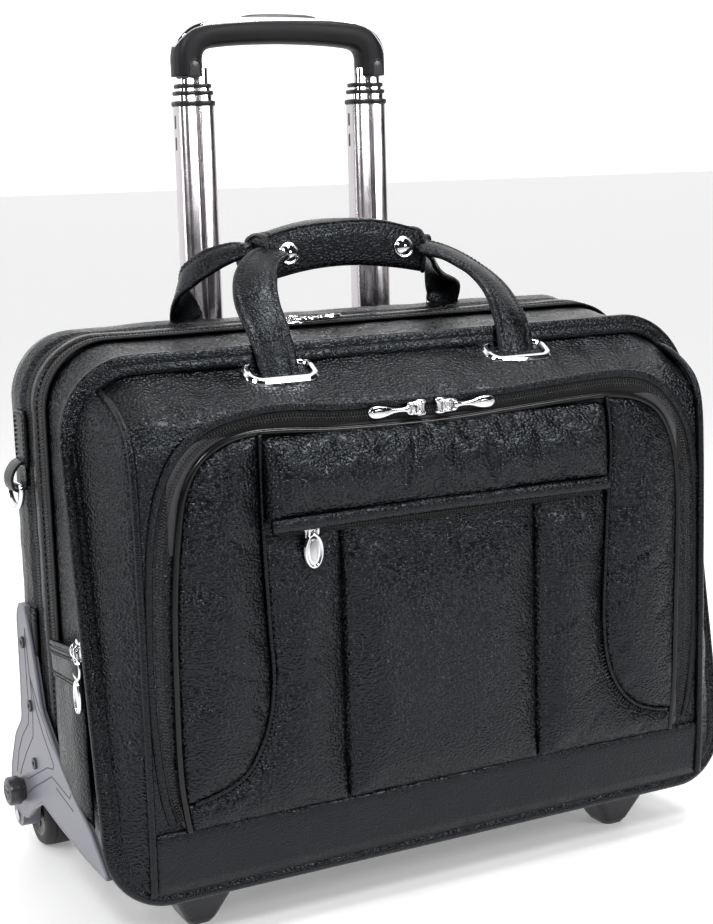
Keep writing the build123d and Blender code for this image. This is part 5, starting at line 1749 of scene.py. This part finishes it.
# Pocket's inside: a cloth tray with card slots and pen loops stitched to its back.
tray_low, tray_high = span("pocket_lining")
back = box_pad((tray_low[0], tray_high[1] - 1.0, tray_low[2]), (tray_high[0], tray_high[1], tray_high[2]),
               0.1, step=7)
walls = [back]
for low, high in (((tray_low[0], tray_low[1], tray_low[2]), (tray_low[0] + 2, tray_high[1], tray_high[2])),
                  ((tray_high[0] - 2, tray_low[1], tray_low[2]), (tray_high[0], tray_high[1], tray_high[2])),
                  ((tray_low[0], tray_low[1], tray_low[2]), (tray_high[0], tray_high[1], tray_low[2] + 2)),
                  ((tray_low[0], tray_low[1], tray_high[2] - 2),
                   (tray_high[0], tray_high[1], tray_high[2]))):
    walls.append(box_pad(low, high, 0.2, step=5))
new_piece("pocket_lining_cloth", *merge(walls), LINING, "front_section", replaces=["pocket_lining"])
cards, loops, seams = [], [], []
card_back = span("organizer")[1][1]
for step, high in enumerate((190, 170, 150)):
    low_y = card_back - 1.2 * (step + 1)
    cards.append(box_pad((-155, low_y, 90), (-5, low_y + 1.2, high), 0.15, step=5))
    seams.append(stitch_row(even(np.array([(-153, low_y - 0.1, high - 2.5), (-7, low_y - 0.1, high - 2.5)]),
                                 4),
                            (0, -1, 0), pitch=2.9, length=2.1, radius=0.28))
    seams.append(stitch_row(even(np.array([(-80, low_y - 0.1, high - 4), (-80, low_y - 0.1, high - 20)]), 4),
                            (0, -1, 0), pitch=2.9, length=2.1, radius=0.28))
for pen in range(4):
    x = 40 + 24 * pen
    arch = np.array([(x - 8, card_back - 0.4), (x - 6, card_back - 2.2), (x, card_back - 3.6),
                     (x + 6, card_back - 2.2),
                     (x + 8, card_back - 0.4)])
    line = spline(np.array([(u, v, 150.0) for u, v in arch]), 1.0)
    loops.append(sweep(line, box_profile(39, 0.9, 0.3), np.array([(0, -1.0, 0)] * len(line))))
new_piece("organizer_leather", *merge(cards + loops), SMOOTH_LEATHER, "front_section",
          replaces=["organizer"])
new_piece("organizer_stitches", *merge(seams), THREAD, "front_section")

# Board between the two main compartments, wrapped in cloth and stitched round.
board_low, board_high = span("divider_board")
dress("divider_board", LINING)
line = even(rounded_rectangle(board_high[0] - board_low[0] - 14, board_high[2] - board_low[2] - 14, 26, 0,
                              (board_low[2] + board_high[2]) / 2), 3, True)
rows = []
for y, way in ((board_low[1] - 0.05, -1), (board_high[1] + 0.05, 1)):
    path = np.column_stack([line[:, 0], np.full(len(line), y), line[:, 1]])
    rows.append(stitch_row(path, (0, way, 0), closed=True, pitch=3.4, length=2.4, radius=0.3))
new_piece("divider_board_stitches", *merge(rows), THREAD, "divider", slot="lining_fabric")

# Cover over the trolley's tubes, with a corded edge and stitched borders.
cover_low, cover_high = span("trolley_cover")
dress("trolley_cover", LEATHER)
width, tall = cover_high[0] - cover_low[0], cover_high[2] - cover_low[2]
centre_z = (cover_low[2] + cover_high[2]) / 2
cord_line = even(rounded_rectangle(width - 1, tall - 1, 8, 0, centre_z), 3, True)
new_piece("trolley_cover_piping",
          *loop_of(cord_line, (0, cover_high[1] - 0.4, 0), (1, 0, 0), (0, 0, 1), 1.8, (0, 1, 0)), PIPING,
          "frame_body")
rows = []
for inset in (12, 15):
    path = even(rounded_rectangle(width - inset, tall - inset, 7, 0, centre_z), 3, True)
    path = np.column_stack([path[:, 0], np.full(len(path), cover_high[1] + 0.05), path[:, 1]])
    rows.append(stitch_row(path, (0, 1, 0), closed=True, pitch=3.2, length=2.3, radius=0.32))
new_piece("trolley_cover_stitches", *merge(rows), THREAD, "frame_body")
# ---- floor, light and camera ------------------------------------------------------------------
def backdrop():
    floor = bpy.data.meshes.new("floor")
    floor.from_pydata([(-30, -30, 0), (30, -30, 0), (30, 30, 0), (-30, 30, 0)], [], [(0, 1, 2, 3)])
    floor_object = bpy.data.objects.new("floor", floor)
    bpy.context.collection.objects.link(floor_object)
    pale = make_plastic("pale_floor", (0.92, 0.92, 0.92), 0.6, 300, 0.02, 0.01)
    pale.node_tree.nodes["Principled BSDF"].inputs["Emission Color"].default_value = (1, 1, 1, 1)
    pale.node_tree.nodes["Principled BSDF"].inputs["Emission Strength"].default_value = 0.24
    floor.materials.append(pale)
    world = bpy.data.worlds.new("studio")
    world.use_nodes = True
    nodes, links = world.node_tree.nodes, world.node_tree.links
    direction = nodes.new("ShaderNodeTexCoord")
    parts = nodes.new("ShaderNodeSeparateXYZ")
    links.new(direction.outputs["Generated"], parts.inputs["Vector"])
    links.new(ramp(nodes, links, parts.outputs["Y"], -0.05, 0.35, 0.02, 1.4),
              nodes["Background"].inputs["Strength"])
    nodes["Background"].inputs["Color"].default_value = (1, 1, 1, 1)
    bpy.context.scene.world = world
    bpy.context.scene.view_settings.view_transform = "Standard"


def lamp(name, place, target, size, power):
    light = bpy.data.lights.new(name, "AREA")
    light.shape = "RECTANGLE"
    light.size, light.size_y = size
    light.energy = power
    light.spread = math.radians(80)
    lamp_object = bpy.data.objects.new(name, light)
    bpy.context.collection.objects.link(lamp_object)
    lamp_object.location = place
    direction = Vector(target) - Vector(place)
    lamp_object.rotation_euler = direction.to_track_quat("-Z", "Y").to_euler()


def photo_camera():
    """Camera at the reference view: its place in front of the panel, its heading, tilt and roll."""
    yaw, pitch, roll = math.radians(27.305), math.radians(9.831), math.radians(-1.708)
    place_mm = np.array((-492.52, at(-850.52), 431.62))
    forward = np.array((math.sin(yaw) * math.cos(pitch), math.cos(yaw) * math.cos(pitch), -math.sin(pitch)))
    right = np.array((math.cos(yaw), -math.sin(yaw), 0))
    up = np.cross(right, forward)
    turned_right = math.cos(roll) * right + math.sin(roll) * up
    turned_up = -math.sin(roll) * right + math.cos(roll) * up
    camera = bpy.data.cameras.new("camera")
    camera.sensor_width = 36
    camera.lens = 67.52
    camera.clip_start, camera.clip_end = 0.01, 100
    camera_object = bpy.data.objects.new("camera", camera)
    bpy.context.collection.objects.link(camera_object)
    matrix = Matrix.Identity(4)
    for row in range(3):
        matrix[row][0] = turned_right[row]
        matrix[row][1] = turned_up[row]
        matrix[row][2] = -forward[row]
        matrix[row][3] = place_mm[row] * MM
    camera_object.matrix_world = matrix
    bpy.context.scene.camera = camera_object


backdrop()
lamp("key", (-0.95, -1.25, 1.55), (0, -0.05, 0.32), (0.45, 0.45), 4.2)
lamp("side", (-1.9, 0.1, 0.9), (0, 0, 0.25), (0.4, 1.2), 2.4)
lamp("front", (0.85, -1.7, 1.15), (0, 0, 0.34), (0.65, 0.45), 3.6)
lamp("top", (0.55, -0.45, 2.0), (0, 0, 0.35), (0.9, 0.5), 4.5)
photo_camera()
